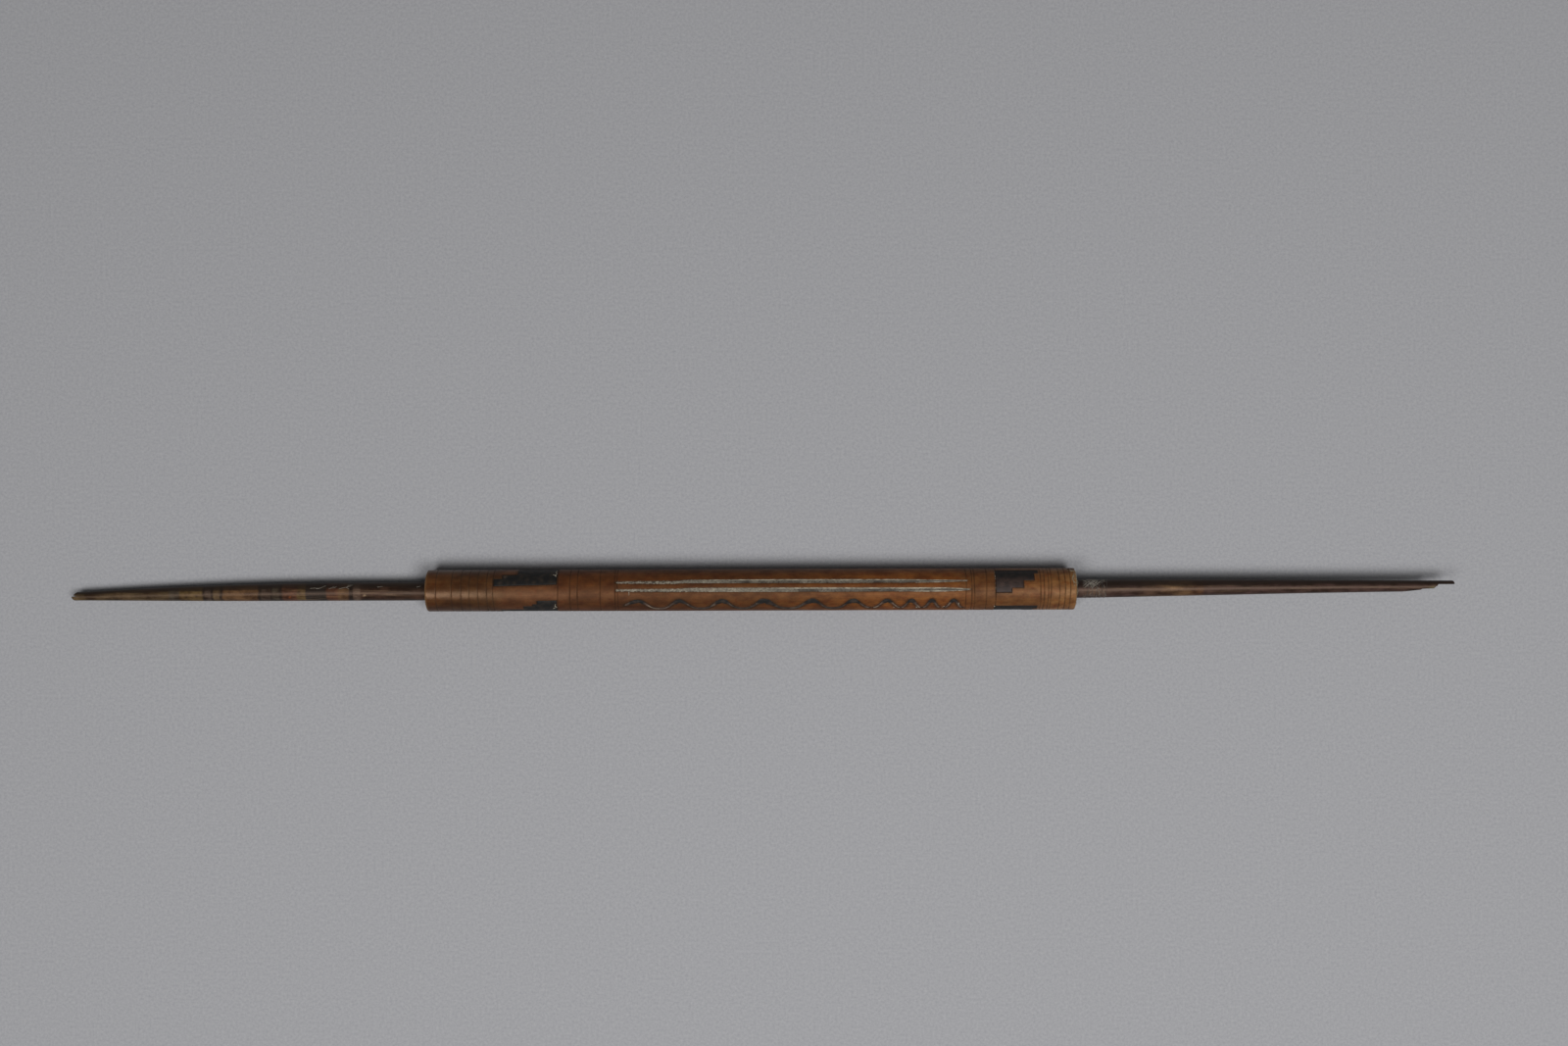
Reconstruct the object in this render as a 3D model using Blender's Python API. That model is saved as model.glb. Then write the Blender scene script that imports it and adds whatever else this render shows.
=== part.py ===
# A spindle rod with an engraved cane tube, lying on its side. Metres, +Z up, +X along the tube.
# The origin is on the table, under the middle of the rod's length.
# Angles on the tube are measured from its crown, positive towards +Y.

import math

import bmesh
import bpy
from mathutils import Vector

mm = 0.001

# Cane tube
tube_length = 164.5 * mm
tube_radius = 5.3 * mm
tube_wall = 1.0 * mm
tube_left_end = -84.5 * mm  # where the left mouth stands on the rod
tube_sides = 36
mouth_bevel = 0.2 * mm
rest_flat_depth = 0.12 * mm  # the flat, bud side of the cane that it rests on

# Turned ring lines, as distances in from each mouth
ring_width = 0.3 * mm
ring_depth = 0.12 * mm
left_block_ring = 33.5 * mm  # the ring at the base of the stepped blocks
left_panel_ring = 48.9 * mm  # the ring that bounds the middle panel
right_block_ring = 20.4 * mm
right_panel_ring = 27.9 * mm
left_rings = [2.8 * mm, 6.7 * mm, 9.1 * mm, 11.2 * mm, 13.4 * mm, 15.6 * mm, 17.2 * mm]
left_band_rings = [left_block_ring, 36.6 * mm, 38.5 * mm, 44.2 * mm, 48.2 * mm, left_panel_ring]
right_rings = [1.6 * mm, 2.9 * mm, 4.4 * mm, 6.5 * mm, 7.2 * mm, 8.2 * mm, 9.1 * mm]
right_band_rings = [right_block_ring, 22.8 * mm, 25.8 * mm, 26.5 * mm, right_panel_ring]

# Inlays, laid in shallow recesses
recess_depth = 0.5 * mm
inlay_gap = 0.2 * mm  # clearance under and round each inlay
inlay_sink = 0.05 * mm  # how far an inlay's face lies below the cane's skin
ring_margin = 0.6 * mm  # clear cane between a ring line and an inlay
cell_angle = math.radians(10)  # widest facet of a curved inlay
cell_slack = 1e-6  # keeps rounding from adding a facet

line_width = 1.0 * mm
line_angles = {"upper_lime_line": (24.5, 26.5, 25.0), "lower_lime_line": (1.5, 2.5, 0.5)}
line_step_at = 15.0 * mm  # from the panel's left end, where each line shifts a little
line_step_run = 2.0 * mm

wave_width = 1.1 * mm
wave_middle = math.radians(-46.5)
wave_swing = math.radians(18.5)
wave_start = 0.9 * mm  # from the panel's left end to the wave's tail
wave_lead = 3.5 * mm  # from the tail to the first crest
wave_spacing = [10.3, 10.8, 10.4, 12.5, 10.2]  # crest to crest, as relative widths
arc_spacing = [8.5, 6.1, 5.2, 5.5]  # on to the crest of each arc, as relative widths
arc_share = 0.4  # half an arc's run, against the run to the next crest
wave_end_margin = 2.5 * mm  # from the last arc's crest to the panel's right end
wave_tail_share = 0.8  # how far down its slope the wave and each arc stop
steps_per_crest = 12

# Stepped blocks. Each step runs from its own distance out from the block's base, back to the base.
block_count = 3
upper_steps = [(15.0 * mm, 21.0), (13.4 * mm, 34.5), (9.8 * mm, 72.0)]
lower_steps = [(14.0 * mm, 40.0), (8.4 * mm, 55.0), (6.0 * mm, 62.5), (4.9 * mm, 75.5)]
left_block_steps = [upper_steps, lower_steps, upper_steps]
left_block_edge = 15.0  # degrees, the flat edge of the first block
even_steps = [(10.1 * mm, 12.5), (9.1 * mm, 37.0), (6.5 * mm, 58.0), (3.5 * mm, 71.0)]
right_block_steps = [even_steps] * block_count
right_block_edge = 64.0

# Palm-wood rod
rod_length = 353.2 * mm
rod_radius = 2.36 * mm
rod_clearance = 0.3 * mm  # between the rod and the bore where it rests
rod_sides = 20
left_tip_radius = 1.05 * mm
left_taper = (3.0, 1.28)  # how late and how full the taper is
left_bow = -1.3 * mm
left_bow_power = 2.6
right_tip_radius = 1.25 * mm
right_taper = (1.3, 1.38)
right_bow = 0.5 * mm
arm_stations = 18
tip_stations = 4
tip_first_lift = 0.4  # how far up its dome a tip's last ring lies, in steps

fork_depth = 1.7 * mm
fork_root_width = 0.18 * mm
fork_mouth_width = 0.3 * mm
fork_lag = 0.7 * mm  # how much shorter the far prong is
short_prong_slant = 1.3  # how far back its slanting end runs out at the side, in tip radii

spike_length = 4.4 * mm  # the thin splinter beyond the broken end
spike_thickness = 0.9 * mm
# The broken outline below it: back from the tip, and across from the rod's middle
break_outline = [
    (4.6 * mm, 0.1 * mm),
    (5.5 * mm, -0.6 * mm),
    (8.4 * mm, -0.7 * mm),
    (8.8 * mm, -0.95 * mm),
    (14.5 * mm, -1.6 * mm),
]

# Fibre packing in the right mouth
packing_length = 7.0 * mm
packing_proud = 0.6 * mm
packing_clearance = 0.3 * mm
packing_sides = 24
packing_crown = 0.5 * mm

# Yarn left on the rod
yarn_diameter = 0.35 * mm
yarn_clearance = 0.2 * mm
yarn_start = 1.8 * mm  # from the right mouth
yarn_pitch = 1.3 * mm
yarn_turns = 5
points_per_turn = 24

# What follows from those sizes
bore_radius = tube_radius - tube_wall
axis_height = tube_radius - rest_flat_depth
panel_left = left_panel_ring + ring_margin
panel_right = tube_length - right_panel_ring - ring_margin
rod_drop = bore_radius - rod_radius - rod_clearance
rod_tilt = math.atan(rod_drop / tube_length)
left_arm = (rod_length / 2 + tube_left_end) / math.cos(rod_tilt)
right_arm = (rod_length / 2 - tube_left_end - tube_length) / math.cos(rod_tilt)
run_in_tube = tube_length / math.cos(rod_tilt)


def clear_scene():
    for old in list(bpy.data.objects):
        bpy.data.objects.remove(old, do_unlink=True)


def surface(name, colour, roughness):
    made = bpy.data.materials.new(name)
    made.use_nodes = True
    shader = made.node_tree.nodes["Principled BSDF"]
    shader.inputs["Base Color"].default_value = (*colour, 1)
    shader.inputs["Roughness"].default_value = roughness
    shader.inputs["Metallic"].default_value = 0
    return made


def empty(name, location, tilt=0.0):
    made = bpy.data.objects.new(name, None)
    made.location = location
    made.rotation_euler = (0, -tilt, 0)
    bpy.context.scene.collection.objects.link(made)
    return made


def mesh_object(name, shape, material, parent):
    """Turns a bmesh into an object under its parent's frame."""
    bmesh.ops.recalc_face_normals(shape, faces=shape.faces)
    mesh = bpy.data.meshes.new(name)
    shape.to_mesh(mesh)
    shape.free()
    mesh.shade_smooth()
    mesh.set_sharp_from_angle(angle=math.radians(35))
    mesh.materials.append(material)
    made = bpy.data.objects.new(name, mesh)
    made.parent = parent
    bpy.context.scene.collection.objects.link(made)
    return made


def as_cutter(made, target, solver="EXACT"):
    """Hides a piece and cuts it out of the target."""
    made.hide_render = True
    made.display_type = "WIRE"
    cut = target.modifiers.new(made.name, "BOOLEAN")
    cut.operation = "DIFFERENCE"
    cut.solver = solver
    cut.object = made


def even_shading(made):
    """Weighs the normals by face area, so that cuts leave no shading marks on the round sides."""
    made.modifiers.new("even_shading", "WEIGHTED_NORMAL").keep_sharp = True


def on_tube(along, angle, radius):
    return Vector((along, radius * math.sin(angle), radius * math.cos(angle)))


def flatten_underside(shape, lowest):
    for vert in shape.verts:
        vert.co.z = max(vert.co.z, lowest)


def turned(profile, sides):
    """Spins a closed outline of (along, radius) points about the X axis."""
    shape = bmesh.new()
    verts = [shape.verts.new((along, 0, radius)) for along, radius in profile]
    edges = [shape.edges.new((verts[i - 1], verts[i])) for i in range(len(verts))]
    bmesh.ops.spin(
        shape,
        geom=verts + edges,
        cent=(0, 0, 0),
        axis=(1, 0, 0),
        angle=math.tau,
        steps=sides,
        use_merge=True,
    )
    return shape


def ring_places():
    from_left = left_rings + left_band_rings
    from_right = [tube_length - inward for inward in right_rings + right_band_rings]
    return sorted(from_left + from_right)


def tube_profile():
    outline = [(0, tube_radius - mouth_bevel), (mouth_bevel, tube_radius)]
    for place in ring_places():
        outline.append((place - ring_width / 2, tube_radius))
        outline.append((place, tube_radius - ring_depth))
        outline.append((place + ring_width / 2, tube_radius))
    outline.append((tube_length - mouth_bevel, tube_radius))
    outline.append((tube_length, tube_radius - mouth_bevel))
    outline.append((tube_length, bore_radius + mouth_bevel))
    outline.append((tube_length - mouth_bevel, bore_radius))
    outline.append((mouth_bevel, bore_radius))
    outline.append((0, bore_radius + mouth_bevel))
    return outline


def skin_layers(grow):
    """Inner and outer radius: of an inlay, or of the recess cut for it."""
    if grow:
        return tube_radius - recess_depth, tube_radius + recess_depth
    return tube_radius - recess_depth + inlay_gap, tube_radius - inlay_sink


def strip(path, width, grow):
    """A ribbon of constant width that follows (along, angle) points on the skin."""
    inner, outer = skin_layers(grow)
    half = width / 2 - inlay_gap + grow
    flat = [Vector((along, angle * tube_radius)) for along, angle in path]
    first = (flat[0] - flat[1]).normalized() * grow
    last = (flat[-1] - flat[-2]).normalized() * grow
    flat[0] = flat[0] + first
    flat[-1] = flat[-1] + last
    shape = bmesh.new()
    rings = []
    for i, here in enumerate(flat):
        before = flat[max(i - 1, 0)]
        after = flat[min(i + 1, len(flat) - 1)]
        heading = (after - before).normalized()
        across = Vector((-heading.y, heading.x)) * half
        low, high = here - across, here + across
        corners = [(low, inner), (high, inner), (high, outer), (low, outer)]
        rings.append([shape.verts.new(on_tube(c.x, c.y / tube_radius, r)) for c, r in corners])
    for near, far in zip(rings, rings[1:]):
        for k in range(4):
            shape.faces.new((near[k - 1], near[k], far[k], far[k - 1]))
    shape.faces.new(rings[0])
    shape.faces.new(rings[-1])
    return shape


def with_facets(edges):
    """Adds edges so that no facet is wider than cell_angle."""
    found = []
    for low, high in zip(edges, edges[1:]):
        parts = math.ceil((high - low) / cell_angle - cell_slack)
        found += [low + (high - low) * k / parts for k in range(parts)]
    return found + [edges[-1]]


def stepped_patch(boxes, grow):
    """A curved plate that covers the union of (low along, high along, low angle, high angle) boxes."""
    inner, outer = skin_layers(grow)
    turn = grow / tube_radius
    boxes = [(a - grow, b + grow, c - turn, d + turn) for a, b, c, d in boxes]
    alongs = sorted({edge for box in boxes for edge in box[:2]})
    angles = with_facets(sorted({edge for box in boxes for edge in box[2:]}))
    shape = bmesh.new()
    made = {}

    def corner(i, j, layer):
        key = (i, j, layer)
        if key not in made:
            made[key] = shape.verts.new(on_tube(alongs[i], angles[j], (inner, outer)[layer]))
        return made[key]

    def covered(i, j):
        if not (0 <= i < len(alongs) - 1 and 0 <= j < len(angles) - 1):
            return False
        along = (alongs[i] + alongs[i + 1]) / 2
        angle = (angles[j] + angles[j + 1]) / 2
        return any(a < along < b and c < angle < d for a, b, c, d in boxes)

    for i in range(len(alongs) - 1):
        for j in range(len(angles) - 1):
            if not covered(i, j):
                continue
            around = [(i, j), (i + 1, j), (i + 1, j + 1), (i, j + 1)]
            neighbours = [(i, j - 1), (i + 1, j), (i, j + 1), (i - 1, j)]
            for layer in (0, 1):
                shape.faces.new([corner(*place, layer) for place in around])
            for k, beside in enumerate(neighbours):
                if not covered(*beside):
                    a, b = around[k], around[(k + 1) % 4]
                    shape.faces.new((corner(*a, 0), corner(*b, 0), corner(*b, 1), corner(*a, 1)))
    return shape


def block_boxes(base, outward, edge, direction, steps):
    """The steps of one block: outward is -1 or 1 along the tube, direction is its side of the flat edge."""
    boxes = []
    for reach, sweep in steps:
        alongs = sorted((base, base + outward * reach))
        angles = sorted((math.radians(edge), math.radians(edge + direction * sweep)))
        boxes.append((*alongs, *angles))
    return boxes


def wave_crests():
    """Where the crests lie along the tube: those of the wave, then those of the loose arcs."""
    first = panel_left + wave_start + wave_lead
    stretch = (panel_right - wave_end_margin - first) / (sum(wave_spacing) + sum(arc_spacing))
    crests = [first]
    for width in wave_spacing + arc_spacing:
        crests.append(crests[-1] + width * stretch)
    return crests[: len(wave_spacing) + 1], crests[len(wave_spacing) :]


def wave_point(along, crest, half_run):
    """A point of the wave that is half_run from its crest to its trough."""
    return along, wave_middle + wave_swing * math.cos(math.pi * (along - crest) / half_run)


def wave_path():
    crests, _ = wave_crests()
    path = []
    half_steps = steps_per_crest // 2
    for k in range(half_steps):
        along = crests[0] - wave_lead * (1 - k / half_steps)
        path.append(wave_point(along, crests[0], wave_lead / wave_tail_share))
    for here, after in zip(crests, crests[1:]):
        for k in range(steps_per_crest):
            along = here + (after - here) * k / steps_per_crest
            path.append(wave_point(along, here, (after - here) / 2))
    last_run = (crests[-1] - crests[-2]) / 2
    for k in range(half_steps):
        along = crests[-1] + last_run * wave_tail_share * k / (half_steps - 1)
        path.append(wave_point(along, crests[-1], last_run))
    return path


def arc_paths():
    _, crests = wave_crests()
    paths = []
    for before, crest in zip(crests, crests[1:]):
        run = (crest - before) * arc_share
        places = [crest + run * (2 * k / steps_per_crest - 1) for k in range(steps_per_crest + 1)]
        paths.append([wave_point(along, crest, run / wave_tail_share) for along in places])
    return paths


def line_path(name):
    start, middle, end = (math.radians(angle) for angle in line_angles[name])
    step = panel_left + line_step_at
    return [(panel_left, start), (step, start), (step + line_step_run, middle), (panel_right, end)]


def inlay_plan():
    """Each inlay's name, material name and a function of the clearance that makes its shape."""
    plan = []
    for name in line_angles:
        plan.append((name, "lime", lambda grow, n=name: strip(line_path(n), line_width, grow)))
    plan.append(("pitch_wave", "pitch", lambda grow: strip(wave_path(), wave_width, grow)))
    for number, path in enumerate(arc_paths(), 1):
        plan.append((f"pitch_arc_{number}", "pitch", lambda grow, p=path: strip(p, wave_width, grow)))
    left_base = left_block_ring - ring_margin
    right_base = tube_length - right_block_ring + ring_margin
    sides = (
        ("left", left_base, -1, left_block_edge, 1, left_block_steps),
        ("right", right_base, 1, right_block_edge, -1, right_block_steps),
    )
    for side, base, outward, edge, direction, steps in sides:
        for number in range(block_count):
            turned_edge = edge - number * 360 / block_count
            boxes = block_boxes(base, outward, turned_edge, direction, steps[number])
            name = f"{side}_step_block_{number + 1}"
            plan.append((name, "pitch", lambda grow, b=boxes: stepped_patch(b, grow)))
    return plan


def make_tube(parent, materials):
    shape = turned(tube_profile(), tube_sides)
    flatten_underside(shape, -axis_height)
    tube = mesh_object("cane_tube", shape, materials["cane"], parent)
    for name, kind, shape_with in inlay_plan():
        recess = mesh_object(f"recess_{name}", shape_with(inlay_gap), materials["cane"], parent)
        as_cutter(recess, tube, "MANIFOLD")  # the exact solver loses the tube among so many shallow cuts
        inlay = shape_with(0)
        flatten_underside(inlay, inlay_sink - axis_height)
        mesh_object(name, inlay, materials[kind], parent)
    even_shading(tube)


def arm_radius(share, tip_radius, taper):
    late, full = taper
    return tip_radius + (rod_radius - tip_radius) * (1 - share**late) ** full


def rod_stations():
    """(along, sideways, radius) down the rod, measured from the right mouth."""
    stations = []
    left_mouth = -run_in_tube
    for k in range(arm_stations + 1):
        share = 1 - k / arm_stations
        sideways = left_bow * share**left_bow_power
        radius = arm_radius(share, left_tip_radius, left_taper)
        stations.append((left_mouth - left_arm * share, sideways, radius))
    for k in range(arm_stations + 1):
        share = k / arm_stations
        sideways = right_bow * math.sin(share * math.pi / 2)
        radius = arm_radius(share, right_tip_radius, right_taper)
        stations.append((right_arm * share, sideways, radius))
    return rounded_ends(stations)


def rounded_ends(stations):
    """Replaces each blunt end with a dome of its own radius."""
    ends = []
    for along, sideways, radius in (stations[0], stations[-1]):
        inward = 1 if along < 0 else -1
        dome = []
        for k in range(tip_stations):
            lift = math.pi / 2 * (k + tip_first_lift) / tip_stations
            dome.append((along + inward * radius * (1 - math.sin(lift)), sideways, radius * math.cos(lift)))
        ends.append(dome)
    return ends[0][::-1] + stations[1:-1] + ends[1]


def lofted_rod():
    shape = bmesh.new()
    rings = []
    for along, sideways, radius in rod_stations():
        turns = [math.tau * k / rod_sides for k in range(rod_sides)]
        rings.append(
            [shape.verts.new((along, sideways + radius * math.sin(a), radius * math.cos(a))) for a in turns]
        )
    for near, far in zip(rings, rings[1:]):
        for k in range(rod_sides):
            shape.faces.new((near[k - 1], near[k], far[k], far[k - 1]))
    shape.faces.new(rings[0])
    shape.faces.new(rings[-1])
    return shape


def upright_prism(corners, height):
    """A prism over (along, sideways) corners, as high as the rod is thick and more."""
    shape = bmesh.new()
    base = shape.faces.new([shape.verts.new((along, sideways, -height)) for along, sideways in corners])
    raised = bmesh.ops.extrude_face_region(shape, geom=[base])
    moved = [item for item in raised["geom"] if isinstance(item, bmesh.types.BMVert)]
    bmesh.ops.translate(shape, verts=moved, vec=(0, 0, 2 * height))
    return shape


def make_rod(parent, material):
    rod = mesh_object("palm_rod", lofted_rod(), material, parent)
    height = 2 * rod_radius
    tip = -run_in_tube - left_arm
    past = tip - rod_radius
    fork_root = tip + fork_depth
    flare = (fork_mouth_width - fork_root_width) / fork_depth * (past - fork_root)
    fork = [
        (fork_root, left_bow - fork_root_width / 2),
        (fork_root, left_bow + fork_root_width / 2),
        (past, left_bow + fork_root_width / 2 - flare / 2),
        (past, left_bow - fork_root_width / 2 + flare / 2),
    ]
    short_prong = [
        (tip + fork_lag, left_bow),
        (tip + fork_lag, left_bow + left_tip_radius / 2),
        (tip + fork_lag + left_tip_radius, left_bow + short_prong_slant * left_tip_radius),
        (past, left_bow + height),
        (past, left_bow),
    ]
    end = right_arm
    spike_side = right_bow + right_tip_radius - spike_thickness
    splinter = [(end - spike_length, spike_side)]
    splinter += [(end - back, right_bow + across) for back, across in break_outline]
    splinter += [
        (splinter[-1][0], right_bow - height / 2),
        (end + rod_radius, right_bow - height / 2),
        (end + rod_radius, spike_side),
    ]
    cuts = (("fork_slit", fork), ("short_prong_cut", short_prong), ("splinter_break", splinter))
    for name, corners in cuts:
        as_cutter(mesh_object(name, upright_prism(corners, height), material, parent), rod)
    even_shading(rod)


def make_packing(parent, material):
    """A soft wad that fills the right mouth round the rod, with a crown that stands out of it."""
    outer = bore_radius - packing_clearance
    inner = rod_radius + packing_clearance
    middle = (outer + inner) / 2
    half = (outer - inner) / 2
    profile = [(packing_proud - packing_crown, outer)]
    for k in range(1, 5):
        swing = math.pi * k / 5
        crown = packing_proud - packing_crown + packing_crown * math.sin(swing)
        profile.append((crown, middle + half * math.cos(swing)))
    profile.append((packing_proud - packing_crown, inner))
    profile.append((-packing_length, inner))
    profile.append((-packing_length - packing_crown, middle))
    profile.append((-packing_length, outer))
    mesh_object("fibre_packing", turned(profile, packing_sides), material, parent)


def yarn_points():
    reach = rod_radius + yarn_clearance + yarn_diameter / 2
    count = yarn_turns * points_per_turn
    points = []
    for k in range(count + 1):
        angle = math.tau * k / points_per_turn
        along = yarn_start + yarn_pitch * k / points_per_turn
        points.append(Vector((along, reach * math.sin(angle), reach * math.cos(angle))))
    first = points[0] + (points[0] - points[1]).normalized() * yarn_diameter
    last = points[-1] + (points[-1] - points[-2]).normalized() * yarn_diameter
    return [first, *points, last]


def least_gap(points):
    """The smallest space between the yarn's own turns."""
    apart = points_per_turn // 2
    found = [
        (one - other).length
        for i, one in enumerate(points)
        for other in points[i + apart :]
    ]
    return min(found) - yarn_diameter


def make_yarn(parent, material):
    points = yarn_points()
    print(f"yarn_remnant: least gap to itself {least_gap(points) / mm:.2f} mm")
    curve = bpy.data.curves.new("yarn_remnant", "CURVE")
    curve.dimensions = "3D"
    curve.bevel_depth = yarn_diameter / 2
    curve.bevel_resolution = 1
    curve.use_fill_caps = True
    spline = curve.splines.new("POLY")
    spline.points.add(len(points) - 1)
    for point, place in zip(spline.points, points):
        point.co = (*place, 1)
    curve.materials.append(material)
    yarn = bpy.data.objects.new("yarn_remnant", curve)
    yarn.parent = parent
    bpy.context.scene.collection.objects.link(yarn)


def main():
    clear_scene()
    materials = {
        "cane": surface("polished_cane", (0.19, 0.083, 0.033), 0.35),
        "lime": surface("lime_paste", (0.62, 0.58, 0.52), 0.8),
        "pitch": surface("black_pitch", (0.012, 0.01, 0.009), 0.4),
        "palm": surface("palm_wood", (0.055, 0.032, 0.02), 0.4),
        "yarn": surface("spun_yarn", (0.5, 0.46, 0.4), 0.9),
    }
    tube_axis = empty("tube_axis", (tube_left_end, 0, axis_height))
    make_tube(tube_axis, materials)
    rod_axis = empty("rod_axis", (tube_left_end + tube_length, 0, axis_height), rod_tilt)
    make_rod(rod_axis, materials["palm"])
    make_packing(rod_axis, materials["yarn"])
    make_yarn(rod_axis, materials["yarn"])


main()
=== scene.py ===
import math
import random
from math import cos, pi, radians, sin, tau
from random import uniform

import bmesh
import bpy
import numpy as np
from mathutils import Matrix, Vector, noise


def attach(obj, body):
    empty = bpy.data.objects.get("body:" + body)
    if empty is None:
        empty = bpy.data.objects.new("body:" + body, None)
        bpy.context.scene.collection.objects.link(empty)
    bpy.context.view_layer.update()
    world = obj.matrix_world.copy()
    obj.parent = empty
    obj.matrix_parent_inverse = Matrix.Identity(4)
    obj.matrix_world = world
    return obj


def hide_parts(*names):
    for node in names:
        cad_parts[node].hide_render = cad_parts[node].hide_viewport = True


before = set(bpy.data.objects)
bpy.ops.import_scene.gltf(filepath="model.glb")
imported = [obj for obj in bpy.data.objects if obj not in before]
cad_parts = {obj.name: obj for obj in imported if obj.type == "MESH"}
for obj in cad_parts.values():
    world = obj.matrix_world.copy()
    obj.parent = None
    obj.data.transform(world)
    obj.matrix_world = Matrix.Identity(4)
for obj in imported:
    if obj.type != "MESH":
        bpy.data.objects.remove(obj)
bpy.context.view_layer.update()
print("stage: frame loaded")

mm = 0.001  # sizes are in millimetres and angles in degrees from the tube's crown, unless a note says else


def toLinear(hexColour):
    parts = [int(hexColour[i:i + 2], 16) / 255 for i in (1, 3, 5)]
    return tuple(p / 12.92 if p <= 0.04045 else ((p + 0.055) / 1.055) ** 2.4 for p in parts) + (1.0,)


def addNode(tree, kind, feeds=None, stops=None, **settings):
    node = tree.nodes.new("ShaderNode" + kind)
    for key, value in settings.items():
        setattr(node, key, value)
    for key, value in (feeds or {}).items():
        if isinstance(value, bpy.types.NodeSocket):
            tree.links.new(value, node.inputs[key])
        else:
            node.inputs[key].default_value = value
    for number, (place, colour) in enumerate(stops or []):
        elements = node.color_ramp.elements
        element = elements[number] if number < len(elements) else elements.new(place)
        element.position = place
        element.color = colour
    return node


def newMaterial(name, **constants):
    made = bpy.data.materials.new(name)
    made.use_nodes = True
    tree = made.node_tree
    tree.nodes.clear()
    shader = addNode(tree, "BsdfPrincipled", {k.replace("_", " "): v for k, v in constants.items()})
    addNode(tree, "OutputMaterial", {"Surface": shader.outputs["BSDF"]})
    return made, tree, shader


def spotted(tree, size, stretch=(1, 1, 1), detail=3.0, rough=0.55, offset=(0, 0, 0)):
    place = addNode(tree, "TexCoord").outputs["Object"]
    scale = tuple(1 / (size * mm * s) for s in stretch)  # size is the width of one blotch in mm
    moved = addNode(tree, "Mapping", {"Vector": place, "Scale": scale, "Location": offset}).outputs[0]
    feeds = {"Vector": moved, "Scale": 1.0, "Detail": detail, "Roughness": rough}
    return addNode(tree, "TexNoise", feeds).outputs[0]


def ranged(tree, value, low, high, out=(0.0, 1.0), kind="LINEAR"):
    feeds = {"Value": value, "From Min": low, "From Max": high, "To Min": out[0], "To Max": out[1]}
    return addNode(tree, "MapRange", feeds, interpolation_type=kind).outputs[0]


def mixed(tree, factor, one, other, kind="MIX"):
    node = addNode(tree, "Mix", {0: factor, 6: one, 7: other}, data_type="RGBA", blend_type=kind)
    return node.outputs[2]


def combined(tree, kind, one, other):
    return addNode(tree, "Math", {0: one, 1: other}, operation=kind).outputs[0]


def times(tree, one, other):
    return combined(tree, "MULTIPLY", one, other)


def painted(tree, share, colour, hexColour):
    return mixed(tree, share, colour, toLinear(hexColour))


def tinted(tree, colour, hexColour):
    return mixed(tree, 1.0, colour, toLinear(hexColour), "MULTIPLY")


def layer(tree, name, output="Fac"):
    return addNode(tree, "Attribute", attribute_name=name).outputs[output]


def coloured(tree, shader, colour, rough=None):
    tree.links.new(colour, shader.inputs["Base Color"])
    if rough:
        tree.links.new(rough, shader.inputs["Roughness"])


def bumped(tree, shader, height, depth, strength=1.0):
    bump = addNode(tree, "Bump", {"Height": height, "Distance": depth * mm, "Strength": strength})
    tree.links.new(bump.outputs[0], shader.inputs["Normal"])


def placed(name, data):
    made = bpy.data.objects.new(name, data)
    bpy.context.scene.collection.objects.link(made)
    return made


def piece(name, verts, faces, material, body, replaced=(), layers=None, closed=False):
    mesh = bpy.data.meshes.new(name)
    mesh.from_pydata([tuple(c * mm for c in v) for v in verts], [], faces)
    for key, values in (layers or {}).items():
        values = np.asarray(values, dtype=np.float32)
        kind = "FLOAT" if values.ndim == 1 else "FLOAT_VECTOR"
        made = mesh.attributes.new(key, kind, "POINT")
        made.data.foreach_set("value" if kind == "FLOAT" else "vector", values.ravel())
    mesh.materials.append(material)
    if closed:
        shape = bmesh.new()
        shape.from_mesh(mesh)
        bmesh.ops.recalc_face_normals(shape, faces=shape.faces)
        shape.to_mesh(mesh)
        shape.free()
    mesh.shade_smooth()
    mesh.update()
    made = placed(name, mesh)
    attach(made, body)
    if replaced:
        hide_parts(*replaced)
    return made


def gridFaces(rows, columns, base=0, closed=True):
    # quads between neighbouring rows of points: a closed row runs back to its own first point
    faces = []
    for i in range(base, base + (rows - 1) * columns, columns):
        for k in range(columns if closed else columns - 1):
            n = (k + 1) % columns
            faces.append((i + k, i + columns + k, i + columns + n, i + n))
    return faces


def cappedFaces(rows, columns, base=0):
    # a grid of closed rows with a cap at each end
    last = base + (rows - 1) * columns
    caps = [tuple(range(base, base + columns))[::-1], tuple(range(last, last + columns))]
    return gridFaces(rows, columns, base) + caps


def lumps(x, y, z):
    return noise.noise(Vector((x, y, z)))


def wander(value, seed, size=1.0):
    return lumps(value / size, seed * 7.31, seed * 3.17)


def roundLumps(along, turn, spread, shift=0.0):
    return lumps(along, sin(turn) * spread, cos(turn) * spread + shift)


def smooth(low, high, value):
    share = np.clip((value - low) / (high - low), 0, 1)
    return share * share * (3 - 2 * share)


def eased(low, high, value):
    return float(smooth(low, high, value))


def readOff(value, table):
    return float(np.interp(value, *table))  # a table is (places, values)


def wrapped(angle):
    return (angle + 180) % 360 - 180


def headingAt(points, i):
    return (points[min(i + 1, len(points) - 1)] - points[max(i - 1, 0)]).normalized()


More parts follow.
